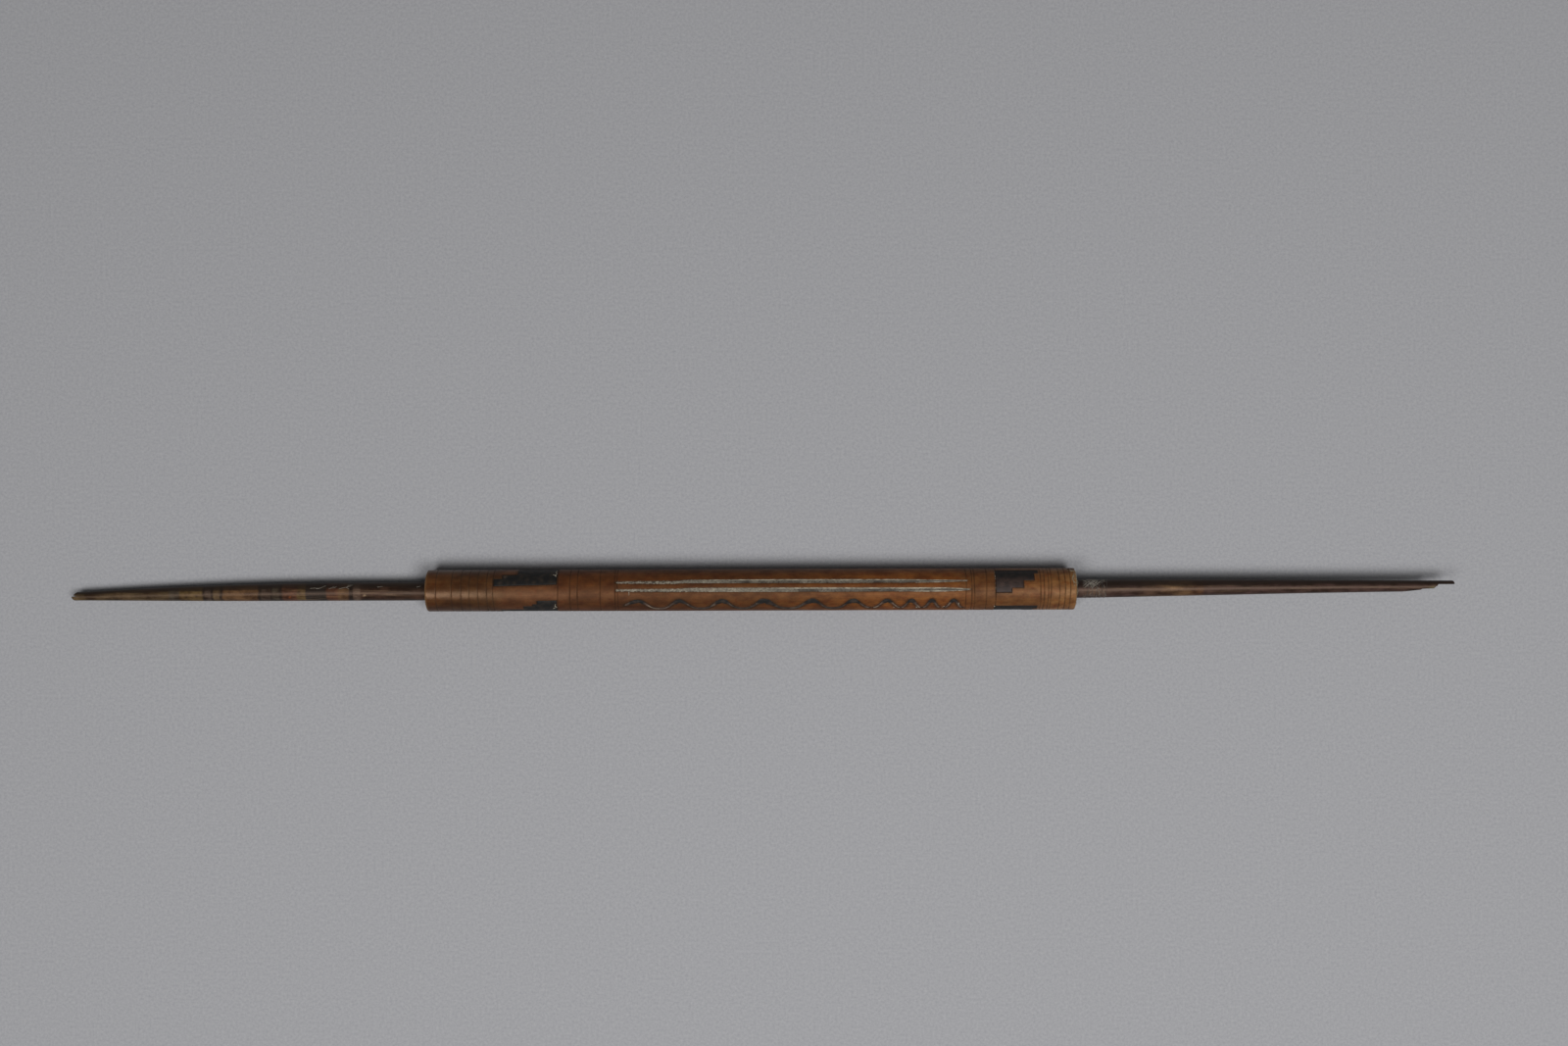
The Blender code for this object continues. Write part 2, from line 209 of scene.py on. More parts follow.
# The camera looks straight down, and soft light comes from the near side
view = {  # the lights and the floor are in metres
    "place": (6.2, 17.0, 442.8),
    "roll": -0.18,
    "lens": 39.4,
    "lightTilt": (21.0, 15.5),  # degrees off the vertical, towards the near side: left light, right light
    "lightSpread": 0.33,  # how far left and right of the middle the two lights stand
    "lightHeight": 0.95,
    "lightSize": 0.46,
    "lightPower": (5.4, 7.2),
    "fill": 0.09,
    "backdrop": 0.31,
    "floorTones": ("#88888c", "#9e9ea0"),
    "fade": (0.22, 0.7),  # how far from the middle the floor begins and ends to melt into the backdrop
    "floorReach": 1.5,
}

cameraData = bpy.data.cameras.new("camera")
cameraData.lens = view["lens"]
cameraData.sensor_width = 36
cameraData.clip_start = 0.01
camera = placed("camera", cameraData)
camera.location = Vector(view["place"]) * mm
camera.rotation_euler = (0, 0, radians(view["roll"]))
bpy.context.scene.camera = camera

for side, power, tilt in zip((-1, 1), view["lightPower"], view["lightTilt"]):
    lampData = bpy.data.lights.new("softLight", "AREA")
    lampData.size = view["lightSize"]
    lampData.energy = power
    lamp = placed("softLight", lampData)
    height = view["lightHeight"]
    lamp.location = (side * view["lightSpread"], -math.tan(radians(tilt)) * height, height)
    lamp.rotation_euler = (-lamp.location).to_track_quat("-Z", "Y").to_euler()

world = bpy.data.worlds.new("fill")
world.use_nodes = True
rays = addNode(world.node_tree, "LightPath").outputs
seen = rays["Is Camera Ray"]  # the wall behind looks as pale as the floor, and so does its reflection
for other in ("Is Glossy Ray", "Is Transmission Ray"):
    seen = combined(world.node_tree, "MAXIMUM", seen, rays[other])
backdrop = ranged(world.node_tree, seen, 0.0, 1.0, (view["fill"], view["backdrop"]))
world.node_tree.links.new(backdrop, world.node_tree.nodes["Background"].inputs["Strength"])
world.node_tree.nodes["Background"].inputs["Color"].default_value = (1, 1, 1, 1)
bpy.context.scene.world = world
bpy.context.scene.view_settings.view_transform = "Standard"

# matt board, so the floor shows no glare
paper, paperTree, paperShader = newMaterial("palePaper", Roughness=0.9)
fleck = ranged(paperTree, spotted(paperTree, 0.7, detail=5.0, rough=0.8), 0.3, 0.7)
tone = mixed(paperTree, fleck, *(toLinear(c) for c in view["floorTones"]))
coloured(paperTree, paperShader, tone)
place = addNode(paperTree, "TexCoord").outputs["Object"]
away = addNode(paperTree, "VectorMath", {0: place}, operation="LENGTH").outputs["Value"]
melt = ranged(paperTree, away, *view["fade"], (1.0, 0.0), "SMOOTHSTEP")
paperTree.links.new(melt, paperShader.inputs["Alpha"])
floorMesh = bpy.data.meshes.new("floor")
reach = view["floorReach"]
corners = [(x * reach, y * reach, 0) for x, y in ((-1, -1), (1, -1), (1, 1), (-1, 1))]
floorMesh.from_pydata(corners, [], [(0, 1, 2, 3)])
floorMesh.materials.append(paper)
floor = placed("floor", floorMesh)
print("stage: camera, lights and floor")


# The cane tube
tube = {
    "left": -84.5,  # where its left mouth stands
    "length": 164.5,
    "radius": 5.3,
    "bore": 4.3,
    "axis": 5.18,  # height of its axis
    "rings": [2.8, 6.7, 9.1, 11.2, 13.4, 15.6, 17.2, 33.5, 36.6, 38.5, 44.2, 48.0, 48.6,
              136.6, 138.0, 138.7, 141.7, 144.1, 155.4, 156.3, 157.3, 158.0, 160.1, 161.6, 162.9],
    "ringDepth": 0.10,
    "ringHalf": 0.19,
    "ringWobble": 0.09,
    "ringColumns": (-0.24, -0.15, -0.06, 0.06, 0.15, 0.24),  # places of the mesh's columns beside each ring
    "mouthRound": [(0.0, 0.30), (0.05, 0.15), (0.14, 0.05), (0.3, 0.0)],  # (from the mouth, drop) of the skin
    # places along the tube, then how many degrees the left blocks were cut askew there
    "skew": ((16.0, 17.4, 33.3, 34.5), (0.0, -0.5, 4.0, 0.0)),
    # places along the tube, then how polished it is there
    "gloss": ((0, 12, 20, 33, 60, 140, 155, 164), (1.25, 1.05, 0.4, 0.3, 0.0, 0.2, 0.5, 0.6)),
    # places along the tube, then how much painted shade darkens its near side there
    "nearSideShade": ((0, 55, 100, 140, 147, 154, 160), (0.32, 0.28, 0.1, 0.0, 0.3, 0.3, 0.0)),
    "cut": 0.12,  # depth of the beds that hold the inlays
    "wornDepth": 0.02,
    "boreRipple": 0.05,
    "boreFlare": 0.18,  # how much wider the bore is at its two ends
    "panel": (49.5, 136.0),
    "skinStep": 0.42,
    "turnStep": 2.5,
    "underStep": 4.0,
    "boreStations": (0.05, 0.25, 2, 8, 20, 50, 82, 115, 145, 157, 162, 164.25, 164.45),
    "boreTone": "#4e351d",
    "tones": [  # the cane's own colour along the tube
        (0.0, "#543820"), (8.0, "#4c3521"), (17.0, "#4c3621"), (20.0, "#5d3e27"), (33.0, "#5e3e27"),
        (35.0, "#53331b"), (90.0, "#5b3b1d"), (118.0, "#724a23"), (134.0, "#714922"), (138.0, "#5f4125"),
        (155.0, "#755434"), (162.0, "#7f6240"),
    ],
}

lines = {
    # places along the tube, then the lines' width there
    "widths": ((48.3, 52.0, 64.0, 67.0, 100.0, 125.0), (0.62, 0.72, 0.85, 1.0, 1.1, 1.0)),
    # (along, angle) points of each line
    "upper": [(48.3, 24.0), (63.0, 24.0), (66.0, 26.5), (130.0, 25.5), (137.2, 26.5)],
    "lower": [(48.3, 1.5), (63.0, 1.0), (67.0, 2.5), (110.0, 1.5), (137.9, 1.5)],
    "taper": {"upper": 22.0, "lower": 9.0},
    "rubbed": {"upper": (68.0, 80.0), "lower": (80.0, 96.0)},  # where wear of the middle begins, and is full
    "nearEdge": (121.0, 128.0),  # where the near lip begins to be bright too, and is
    "crumbled": ((0.0, 14.0, 26.0), (1.0, 0.8, 0.0)),  # from the left end, how crumbled the paste is
}

wave = {
    "width": 0.95,
    "middle": -45.5,
    "swing": 16.5,
    "peak": 1.35,  # above 1 the crests are narrower than the troughs
    "start": 0.9,
    "lead": 3.5,
    "crests": [10.3, 10.8, 10.4, 12.5, 10.2],
    "arcs": [8.5, 6.1, 5.2, 5.5],
    "endMargin": 2.5,
    "arcShare": 0.4,
    "tailShare": 0.8,
    "leadShare": 0.43,
    "smear": (0.75, 0.3),  # how much thicker the crests are smeared, towards the near side and the far side
    "wornTones": ("#6b5649", "#84705f"),
    # places along the tube, then how much thicker the pitch is there
    "heavy": ((70, 74, 78, 83, 87, 91, 94, 98, 101), (0.0, 0.3, 0.0, 0.25, 0.55, 0.1, 0.45, 0.2, 0.0)),
    # places along the tube, then how scraped the wave is there
    "wear": ((49, 60, 68, 80, 108, 114), (0.85, 0.7, 0.35, 0.15, 0.2, 0.75)),
}

blocks = {
    "leftBase": 33.25,
    "rightBase": 144.1,
    "left": [  # flat edge, then (reach, sweep) of each step
        (15.0, [(15.85, 21.0), (13.7, 34.5), (9.9, 72.0)]),
        (-105.0, [(14.2, 40.0), (8.5, 55.0), (6.1, 62.0), (5.0, 74.0)]),
        (135.0, [(15.4, 21.0), (13.5, 34.5), (9.8, 72.0)]),
    ],
    "right": [
        (65.0, [(10.7, 13.0), (9.75, 37.5), (7.0, 59.0), (4.05, 72.0)]),
        (-52.0, [(10.6, 14.0), (9.6, 37.0), (7.1, 58.0), (4.1, 71.0)]),
        (184.0, [(10.7, 13.0), (9.7, 37.0), (7.0, 58.0), (4.0, 71.0)]),
    ],
    "smudge": (20.2, 29.0, 0.45, 6.0),  # on the left: along, past the flat edge, half length, half width
    "bareFrom": (24, 40),  # on the right: how far from the flat edge the worn part begins, and is full
    "cell": (0.35, 2.4),  # the mesh's step along the tube and round it
    "wornTones": {"left": "#4d3f32", "right": "#3b2c27"},
}


def onTube(along, angle, radius):
    turn = radians(angle + np.interp(along, *tube["skew"]))
    height = tube["axis"] + radius * cos(turn)
    return (tube["left"] + along, radius * sin(turn), max(height, 0.0))


def rolledOut(path):
    return [Vector((a, radians(t) * tube["radius"])) for a, t in path]


def onSkin(place, depth):
    # place is a point of the rolled-out skin
    return onTube(place.x, math.degrees(place.y / tube["radius"]), tube["radius"] - depth)


def blockBoxes(side):
    found = []
    for edge, steps in blocks[side]:
        boxes = []
        for reach, sweep in steps:
            if side == "left":
                boxes.append((blocks["leftBase"] - reach, blocks["leftBase"], edge, edge + sweep))
            else:
                boxes.append((blocks["rightBase"], blocks["rightBase"] + reach, edge - sweep, edge))
        found.append(boxes)
    return found


allBoxes = blockBoxes("left") + blockBoxes("right")


def waveCrests():
    first = tube["panel"][0] + wave["start"] + wave["lead"]
    stretch = (tube["panel"][1] - wave["endMargin"] - first) / (sum(wave["crests"]) + sum(wave["arcs"]))
    found = [first]
    for width in wave["crests"] + wave["arcs"]:
        found.append(found[-1] + width * stretch)
    return found


def waveAngle(along, crest, halfRun):
    lift = (1 + cos(pi * (along - crest) / halfRun)) / 2
    return wave["middle"] + wave["swing"] * (2 * lift ** wave["peak"] - 1)


def wavePaths(step=0.2):
    crests = waveCrests()
    count = len(wave["crests"])
    main = []
    along = crests[0] - wave["lead"]
    lastRun = (crests[count] - crests[count - 1]) / 2
    while along < crests[count] + lastRun * wave["tailShare"]:
        if along < crests[0]:
            main.append((along, waveAngle(along, crests[0], wave["lead"] / wave["leadShare"])))
        elif along < crests[count]:
            k = max(i for i in range(count) if crests[i] <= along)
            main.append((along, waveAngle(along, crests[k], (crests[k + 1] - crests[k]) / 2)))
        else:
            main.append((along, waveAngle(along, crests[count], lastRun)))
        along += step
    arcs = []
    for before, crest in zip(crests[count:], crests[count + 1:]):
        run = (crest - before) * wave["arcShare"]
        places = np.arange(crest - run, crest + run, step)
        arcs.append([(a, waveAngle(a, crest, run / wave["tailShare"])) for a in places])
    return main, arcs


def linePath(name, step=0.15):
    alongs, angles = zip(*lines[name])
    places = np.arange(alongs[0], alongs[-1], step)
    return [(a, float(np.interp(a, alongs, angles))) for a in places]


def lineWidth(name, along):
    left = (lines[name][-1][0] - along) / lines["taper"][name]
    return readOff(along, lines["widths"]) * min(1.0, 0.18 + max(0.0, left) ** 0.7)


def nearPath(alongs, angles, path):
    points = np.array([(a, radians(t) * tube["radius"]) for a, t in path])
    here = np.stack([alongs.ravel(), np.radians(angles.ravel()) * tube["radius"]], axis=1)
    best = np.full(len(here), 99.0)
    for start in range(0, len(points), 40):
        part = points[start:start + 41]
        window = (here[:, 0] > part[:, 0].min() - 2) & (here[:, 0] < part[:, 0].max() + 2)
        gaps = np.linalg.norm(here[window][:, None, :] - part[None, :, :], axis=2)
        best[window] = np.minimum(best[window], gaps.min(axis=1))
    return best.reshape(alongs.shape)


def inBoxes(alongs, angles, boxes):
    inside = np.zeros(alongs.shape, bool)
    for a, b, c, d in boxes:
        for wrap in (-360, 0, 360):
            inside |= (alongs > a) & (alongs < b) & (angles > c + wrap) & (angles < d + wrap)
    return inside


def tubeColumns():
    # places along the tube: closer together at each ring line and on both sides of each block's edge
    kept = [a for a in np.arange(0.7, tube["length"] - 0.6, tube["skinStep"])
            if all(abs(a - r) > 0.34 for r in tube["rings"])]
    kept += [ring + gap for ring in tube["rings"] for gap in tube["ringColumns"]]
    edges = [edge for boxes in allBoxes for box in boxes for edge in box[:2]]
    kept = [k for k in kept
            if all(abs(k - e) > 0.1 for e in edges) or any(abs(k - r) < 0.3 for r in tube["rings"])]
    kept += [edge + gap for edge in edges for gap in (-0.02, 0.02)]
    return sorted(set(round(k, 4) for k in kept))


def tubeRows():
    edges = {round(wrapped(edge), 3) for boxes in allBoxes for box in boxes for edge in box[2:]}
    turned = [*np.arange(-100, 100, tube["turnStep"]), *np.arange(100, 260, tube["underStep"])]
    rows = [a for a in map(wrapped, turned) if all(abs(a - e) > 0.9 for e in edges)]
    for edge in edges:
        rows += [edge - 0.25, edge + 0.25]
    return sorted(map(wrapped, rows))


def tubeMesh():
    columns = np.array(tubeColumns())
    rows = np.array(tubeRows())
    head = [a for a, _ in tube["mouthRound"]]
    tail = [tube["length"] - a for a in head][::-1]
    alongs, angles = np.meshgrid(np.concatenate([head, columns, tail]), rows, indexing="ij")
    radius = np.full(alongs.shape, tube["radius"])
    for k, (_, drop) in enumerate(tube["mouthRound"]):
        radius[k] -= drop
        radius[-1 - k] -= drop
    ring = np.zeros(alongs.shape)
    shift = np.zeros(alongs.shape)
    for number, place in enumerate(tube["rings"]):
        near = np.abs(alongs - place) < 0.26
        strength = np.clip(0.65 + 0.9 * np.array([abs(wander(t, number + 3, 40)) for t in rows]), 0.3, 1)
        cut = np.clip(1 - np.abs(alongs - place) / tube["ringHalf"], 0, 1)
        ring = np.maximum(ring, near * cut * strength)
        slant = np.array([wander(sin(radians(t)), number + 40) for t in rows])
        shift += near * slant * tube["ringWobble"] * 2
    bed = np.zeros(alongs.shape)
    # edge: darkening beside the inlays, part scorch and part painted shade
    edge = np.zeros(alongs.shape)
    for name in ("upper", "lower"):
        half = np.vectorize(lambda a: lineWidth(name, a) / 2)(alongs)
        gap = nearPath(alongs, angles, linePath(name)) + 0.5 - half
        bed = np.maximum(bed, smooth(0.58, 0.36, gap))
        edge = np.maximum(edge, smooth(0.85, 0.5, gap) * 0.5)
    main, arcs = wavePaths()
    for path in [main] + arcs:
        gap = nearPath(alongs, angles, path)
        bed = np.maximum(bed, smooth(wave["width"] / 2 + 0.05, wave["width"] / 2 - 0.2, gap))
        edge = np.maximum(edge, smooth(wave["width"] / 2 + 0.7, wave["width"] / 2, gap))
    for boxes in allBoxes:
        bed = np.maximum(bed, inBoxes(alongs, angles, boxes))
        grown = [(a - 0.4, b + 0.15, c - 6, d + 3) for a, b, c, d in boxes]
        edge = np.maximum(edge, inBoxes(alongs, angles, grown) * 0.8)
    radius -= bed * tube["cut"] + ring * tube["ringDepth"]
    for boxes in allBoxes:  # the cut walls get painted shade too
        lips = [(a - 0.06, b + 0.06, c - 1.0, d + 0.8) for a, b, c, d in boxes]
        bed = np.maximum(bed, inBoxes(alongs, angles, lips))
    verts, tones = [], []
    toneAt = [a for a, _ in tube["tones"]]
    toneOf = np.array([toLinear(c)[:3] for _, c in tube["tones"]])
    rounds = len(rows)
    for i in range(alongs.shape[0]):
        for j in range(rounds):
            a, t = alongs[i, j] + shift[i, j], angles[i, j]
            turn = radians(t)
            worn = roundLumps(a / 9, turn, 2)
            verts.append(onTube(a, t, radius[i, j] - tube["wornDepth"] * abs(worn)))
            # painted shade: the near side's colour is darkened
            nearShading = 1 - readOff(a, tube["nearSideShade"]) * eased(0.15, 0.7, -sin(turn))
            tones.append([np.interp(a + worn * 3, toneAt, toneOf[:, k]) * nearShading for k in range(3)])
    count = alongs.shape[0]
    faces = gridFaces(count, rounds)
    inner = tube["boreStations"]
    base = len(verts)
    for k, a in enumerate(inner):
        for t in rows:
            turn = radians(t)
            flare = tube["boreFlare"] if k in (0, len(inner) - 1) else 0
            r = tube["bore"] + flare + tube["boreRipple"] * roundLumps(a / 3, turn, 3)
            verts.append((tube["left"] + a, r * sin(turn), tube["axis"] + r * cos(turn)))
            tones.append(toLinear(tube["boreTone"])[:3])
    faces += [(a, d, c, b) for a, b, c, d in gridFaces(len(inner), rounds, base)]  # these face inwards
    lastIn, lastOut = base + (len(inner) - 1) * rounds, (count - 1) * rounds
    for j in range(rounds):
        n = (j + 1) % rounds
        faces.append((j, n, base + n, base + j))
        faces.append((lastOut + n, lastOut + j, lastIn + j, lastIn + n))

    def whole(outside, inside=0.0):
        return np.concatenate([outside.ravel(), np.full(len(verts) - base, inside)])

    mouths = np.maximum(smooth(0.5, 0.0, alongs), smooth(tube["length"] - 0.5, tube["length"], alongs))
    layers = {"tone": tones, "gloss": whole(np.interp(alongs, *tube["gloss"])), "ring": whole(ring),
              "edge": whole(edge), "bed": whole(bed), "rim": whole(mouths, 0.3),
              "inside": whole(np.zeros(alongs.shape), 1.0)}
    return verts, faces, layers


def caneMaterial():
    # glossy cane skin: warm brown with fine long fibres, dark turned rings, and edges by the inlays darkened
    # as scorch and painted shade
    gleam = {"Specular_IOR_Level": 0.43, "Specular_Tint": toLinear("#ffd8b4")}
    material, tree, shader = newMaterial("polishedCane", IOR=1.45, **gleam)
    fibres = spotted(tree, 0.13, (70, 1, 1), detail=4.0, rough=0.6)
    blotch = spotted(tree, 2.6, (1.8, 1, 1), detail=5.0, rough=0.68, offset=(3, 1, 2))
    patch = spotted(tree, 1.1, (1.2, 1, 1), detail=4.0, rough=0.6, offset=(6, 6, 1))
    speck = spotted(tree, 0.3, (1.5, 1, 1), detail=3.0, rough=0.7, offset=(9, 4, 1))
    own, ring = layer(tree, "tone", "Vector"), layer(tree, "ring")
    light = tinted(tree, own, "#ffeedb")
    base = mixed(tree, ranged(tree, blotch, 0.36, 0.64), tinted(tree, own, "#b39682"), light)
    base = mixed(tree, ranged(tree, patch, 0.5, 0.68, (0.0, 0.7)), base, tinted(tree, base, "#f4c9a2"))
    base = mixed(tree, ranged(tree, fibres, 0.42, 0.62, (0.35, 0.0)), base, tinted(tree, base, "#c2ab9a"))
    base = painted(tree, ranged(tree, speck, 0.64, 0.74, (0.0, 0.6)), base, "#29180b")
    # scorch and painted shade beside the inlays
    scorchAndShade = times(tree, layer(tree, "edge"), ranged(tree, speck, 0.35, 0.6, (0.9, 0.25)))
    base = painted(tree, scorchAndShade, base, "#1d1008")
    base = painted(tree, times(tree, ring, 0.95), base, "#140b05")
    # bed darkens the inlays' beds, with painted shade on the blocks' cut walls
    base = painted(tree, layer(tree, "bed"), base, "#150c06")
    base = painted(tree, times(tree, layer(tree, "rim"), 0.5), base, "#836643")
    # painted shade darkens the inside of the bore
    base = painted(tree, times(tree, layer(tree, "inside"), 0.7), base, "#2b1d0f")
    polish = times(tree, layer(tree, "gloss"), 0.24)
    sheen = combined(tree, "SUBTRACT", ranged(tree, blotch, 0.3, 0.7, (0.66, 0.56)), polish)
    coloured(tree, shader, base, combined(tree, "ADD", sheen, times(tree, ring, 0.3)))
    bumped(tree, shader, combined(tree, "ADD", fibres, times(tree, speck, 0.6)), 0.02, 0.3)
    return material


cane = caneMaterial()
tubeVerts, tubeFaces, tubeLayers = tubeMesh()
piece("caneTube", tubeVerts, tubeFaces, cane, "tube", ["cane_tube"], tubeLayers)
print("stage: cane tube", len(tubeFaces), "faces")


# Inlays of the tube
inlay = {
    "sink": 0.03,  # how far their faces lie below the cane's skin
    "skirt": 0.2,
    # for the near and the far edge: (seed, size) of the coarse and of the fine raggedness
    "ragged": {-1: ((0, 0.35), (9, 0.12)), 1: ((2, 0.3), (5, 0.14))},
}


def skinStrip(path, halfWidth, surface, ragged, seed):
    profile = [-1.0, -1.0, -0.85, -0.6, -0.35, 0.0, 0.35, 0.6, 0.85, 1.0, 1.0]
    verts, gaps = [], []
    flat = rolledOut(path)
    for i, here in enumerate(flat):
        heading = headingAt(flat, i)
        across = Vector((-heading.y, heading.x))
        ending = min(1.0, 0.3 + min(i, len(flat) - 1 - i) / 3)
        reach = {}
        for side, ((first, coarse), (second, fine)) in inlay["ragged"].items():
            rough = wander(here.x, seed + first, coarse) + 0.6 * wander(here.x, seed + second, fine)
            reach[side] = halfWidth(i, side) * ending * (1 + ragged(i) * rough)
        for k, share in enumerate(profile):
            place = here + across * share * reach[1 if share > 0 else -1]
            depth, gap = surface(i, place.x, place.y, share)
            verts.append(onSkin(place, inlay["skirt"] if k in (0, len(profile) - 1) else depth))
            gaps.append(gap)
    return verts, gridFaces(len(flat), len(profile), closed=False), gaps


def limeMaterial():
    # chalky paste rubbed into the cut: pale crumbs, grey dust between them and dark gaps where it fell out
    material, tree, shader = newMaterial("limePaste", IOR=1.5, Roughness=0.85)
    crumbs = spotted(tree, 0.3, (1.8, 1, 1), detail=4.0, rough=0.75)
    dust = spotted(tree, 2.2, (3, 1, 1), detail=3.0, offset=(2, 5, 1))
    body = painted(tree, ranged(tree, crumbs, 0.36, 0.6), toLinear("#4b4339"), "#8f8776")
    body = painted(tree, ranged(tree, dust, 0.44, 0.6, (0.0, 0.6)), body, "#5b554c")
    body = painted(tree, ranged(tree, dust, 0.32, 0.4, (0.4, 0.0)), body, "#705e51")
    body = painted(tree, layer(tree, "gap"), body, "#231b14")
    body = painted(tree, layer(tree, "bright"), body, "#b6ae9b")
    coloured(tree, shader, body)
    bumped(tree, shader, crumbs, 0.05, 0.8)
    return material


def limeLine(name, node, seed):
    path = linePath(name)
    rubbed = lines["rubbed"][name]

    def fresh(i):
        return readOff(path[i][0] - path[0][0], lines["crumbled"])

    def surface(i, along, across, share):
        crumb = lumps(along * 2.1, across * 3.5, seed) + 0.5 * lumps(along * 5.5, across * 8, seed + 3)
        side = 0.45 * max(0.0, share - 0.1) if name == "upper" else 0.25 * max(0.0, -share)
        lost = fresh(i) * eased(-0.06, 0.2, crumb + side - 0.02)
        worn, nearEdge = eased(*rubbed, along), eased(*lines["nearEdge"], along)
        hollow = worn * eased(0.7, 0.3, share) * eased(-1.3 + 0.5 * nearEdge, -1.0 + 0.6 * nearEdge, share)
        hollow *= 0.62 + 0.5 * lumps(along * 0.35, seed, 4.5)
        gap = min(1.0, lost + max(0.0, hollow) + (0.5 if crumb > 0.42 else 0.0))
        lip = worn * max(eased(0.5, 0.8, share), nearEdge * eased(-0.5, -0.8, share))
        lip = max(lip, fresh(i) * eased(0.1, 0.4, crumb - 0.5 * side))
        lip *= 0.5 + 0.9 * lumps(along * 0.9, seed, 8.5)
        return inlay["sink"] + 0.07 * gap + 0.015 * crumb, (gap, max(0.0, lip))

    def halfWidth(i, side):
        return lineWidth(name, path[i][0]) / 2

    verts, faces, found = skinStrip(path, halfWidth, surface, lambda i: 0.12 + 0.6 * fresh(i), seed)
    layers = dict(zip(("gap", "bright"), zip(*found)))
    piece(node + "Paste", verts, faces, lime, "tube", [node], layers)


def pitchMaterial():
    # hard black pitch with a low sheen, dusty and scraped to a pinkish grey where hands wear it
    material, tree, shader = newMaterial("blackPitch", IOR=1.4, Specular_IOR_Level=0.35)
    scrape = spotted(tree, 0.5, (2, 1, 1), detail=4.0, rough=0.7, offset=(1, 2, 8))
    crack = spotted(tree, 0.22, (3, 1, 1), detail=3.0, offset=(4, 2, 5))
    worn = times(tree, layer(tree, "wear"), ranged(tree, scrape, 0.3, 0.6, (0.35, 1.0)))
    base = painted(tree, ranged(tree, crack, 0.35, 0.65), toLinear("#070605"), "#0e0c0b")
    base = mixed(tree, worn, base, layer(tree, "wornTone", "Vector"))
    coloured(tree, shader, base, ranged(tree, scrape, 0.3, 0.7, (0.5, 0.68)))
    bumped(tree, shader, combined(tree, "ADD", scrape, crack), 0.05, 0.6)
    return material


def pitchStrip(name, node, path, seed):
    def rise(i):
        return (path[i][1] - wave["middle"]) / wave["swing"]  # 1 at a crest, -1 at a trough

    def surface(i, along, across, share):
        crest = eased(0.1, 0.75, rise(i))
        bare = readOff(along, wave["wear"]) * (1 - crest)
        wear = bare + (0.15 + 0.7 * bare) * lumps(along * 0.8, across * 1.2, seed + 7) + 0.04
        wear = min(1.0, max(0.0, wear)) * (1 - 0.7 * share ** 2)  # the middle wears first
        lump = lumps(along * 1.7, across * 3, seed)
        return inlay["sink"] + 0.02 * (1 + lump) + 0.03 * wear - 0.06 * crest, wear

    def halfWidth(i, side):
        smear = wave["smear"][0 if side < 0 else 1]
        full = 0.55 + smear * eased(0.2, 0.95, rise(i)) + 0.3 * eased(-0.4, -0.95, rise(i))
        full += readOff(path[i][0], wave["heavy"])
        return wave["width"] / 2 * full * (1 + 0.35 * wander(path[i][0], seed, 1.4))

    verts, faces, wear = skinStrip(path, halfWidth, surface, lambda i: 0.22, seed)
    common, rare = (toLinear(c)[:3] for c in wave["wornTones"])
    tones = [common if lumps(v[0] * 0.7, seed, 3.5) > -0.1 else rare for v in verts]
    piece(name, verts, faces, pitch, "tube", [node], {"wear": wear, "wornTone": tones})


def cellEdges(edges, step):
    edges = sorted(set(edges))
    found = []
    for low, high in zip(edges, edges[1:]):
        parts = max(1, round((high - low) / step))
        found += [low + (high - low) * k / parts for k in range(parts)]
    return found + [edges[-1]]


def stepBlock(side, number, boxes, seed):
    alongs = cellEdges([e for box in boxes for e in box[:2]], blocks["cell"][0])
    angles = cellEdges([e for box in boxes for e in box[2:]], blocks["cell"][1])
    made, verts, wear, faces = {}, [], [], []

    def wornness(along, angle):
        if side == "right":
            begin, full = blocks["bareFrom"]
            return 0.12 + 0.6 * eased(boxes[0][3] - begin, boxes[0][3] - full, angle)
        at, turned, halfLong, halfWide = blocks["smudge"]
        turned += boxes[0][2]
        return 0.06 + 0.75 * math.exp(-((along - at) / halfLong) ** 2 - ((angle - turned) / halfWide) ** 2)

    def covered(i, j):
        if not (0 <= i < len(alongs) - 1 and 0 <= j < len(angles) - 1):
            return False
        a, t = (alongs[i] + alongs[i + 1]) / 2, (angles[j] + angles[j + 1]) / 2
        return any(p < a < q and r < t < s for p, q, r, s in boxes)

    def corner(i, j, low):
        key = (i, j, low)
        if key not in made:
            a, t = alongs[i], angles[j]
            lump = lumps(a * 0.8, radians(t) * 4, seed)
            depth = inlay["skirt"] if low else inlay["sink"] + 0.025 * (1 + lump)
            made[key] = len(verts)
            verts.append(onTube(a, t, tube["radius"] - depth))
            wear.append(min(1.0, max(0.0, wornness(a, t) + 0.35 * lump)))
        return made[key]

    for i in range(len(alongs) - 1):
        for j in range(len(angles) - 1):
            if not covered(i, j):
                continue
            around = [(i, j), (i + 1, j), (i + 1, j + 1), (i, j + 1)]
            beside = [(i, j - 1), (i + 1, j), (i, j + 1), (i - 1, j)]
            faces.append(tuple(corner(*c, False) for c in around))
            for k, other in enumerate(beside):
                if not covered(*other):
                    one, two = around[k], around[(k + 1) % 4]
                    wall = [(*one, True), (*two, True), (*two, False), (*one, False)]
                    faces.append(tuple(corner(*c) for c in wall))
    layers = {"wear": wear, "wornTone": [toLinear(blocks["wornTones"][side])[:3]] * len(verts)}
    name, node = f"{side}StepBlock{number}", f"{side}_step_block_{number}"
    piece(name, verts, faces, pitch, "tube", [node], layers)


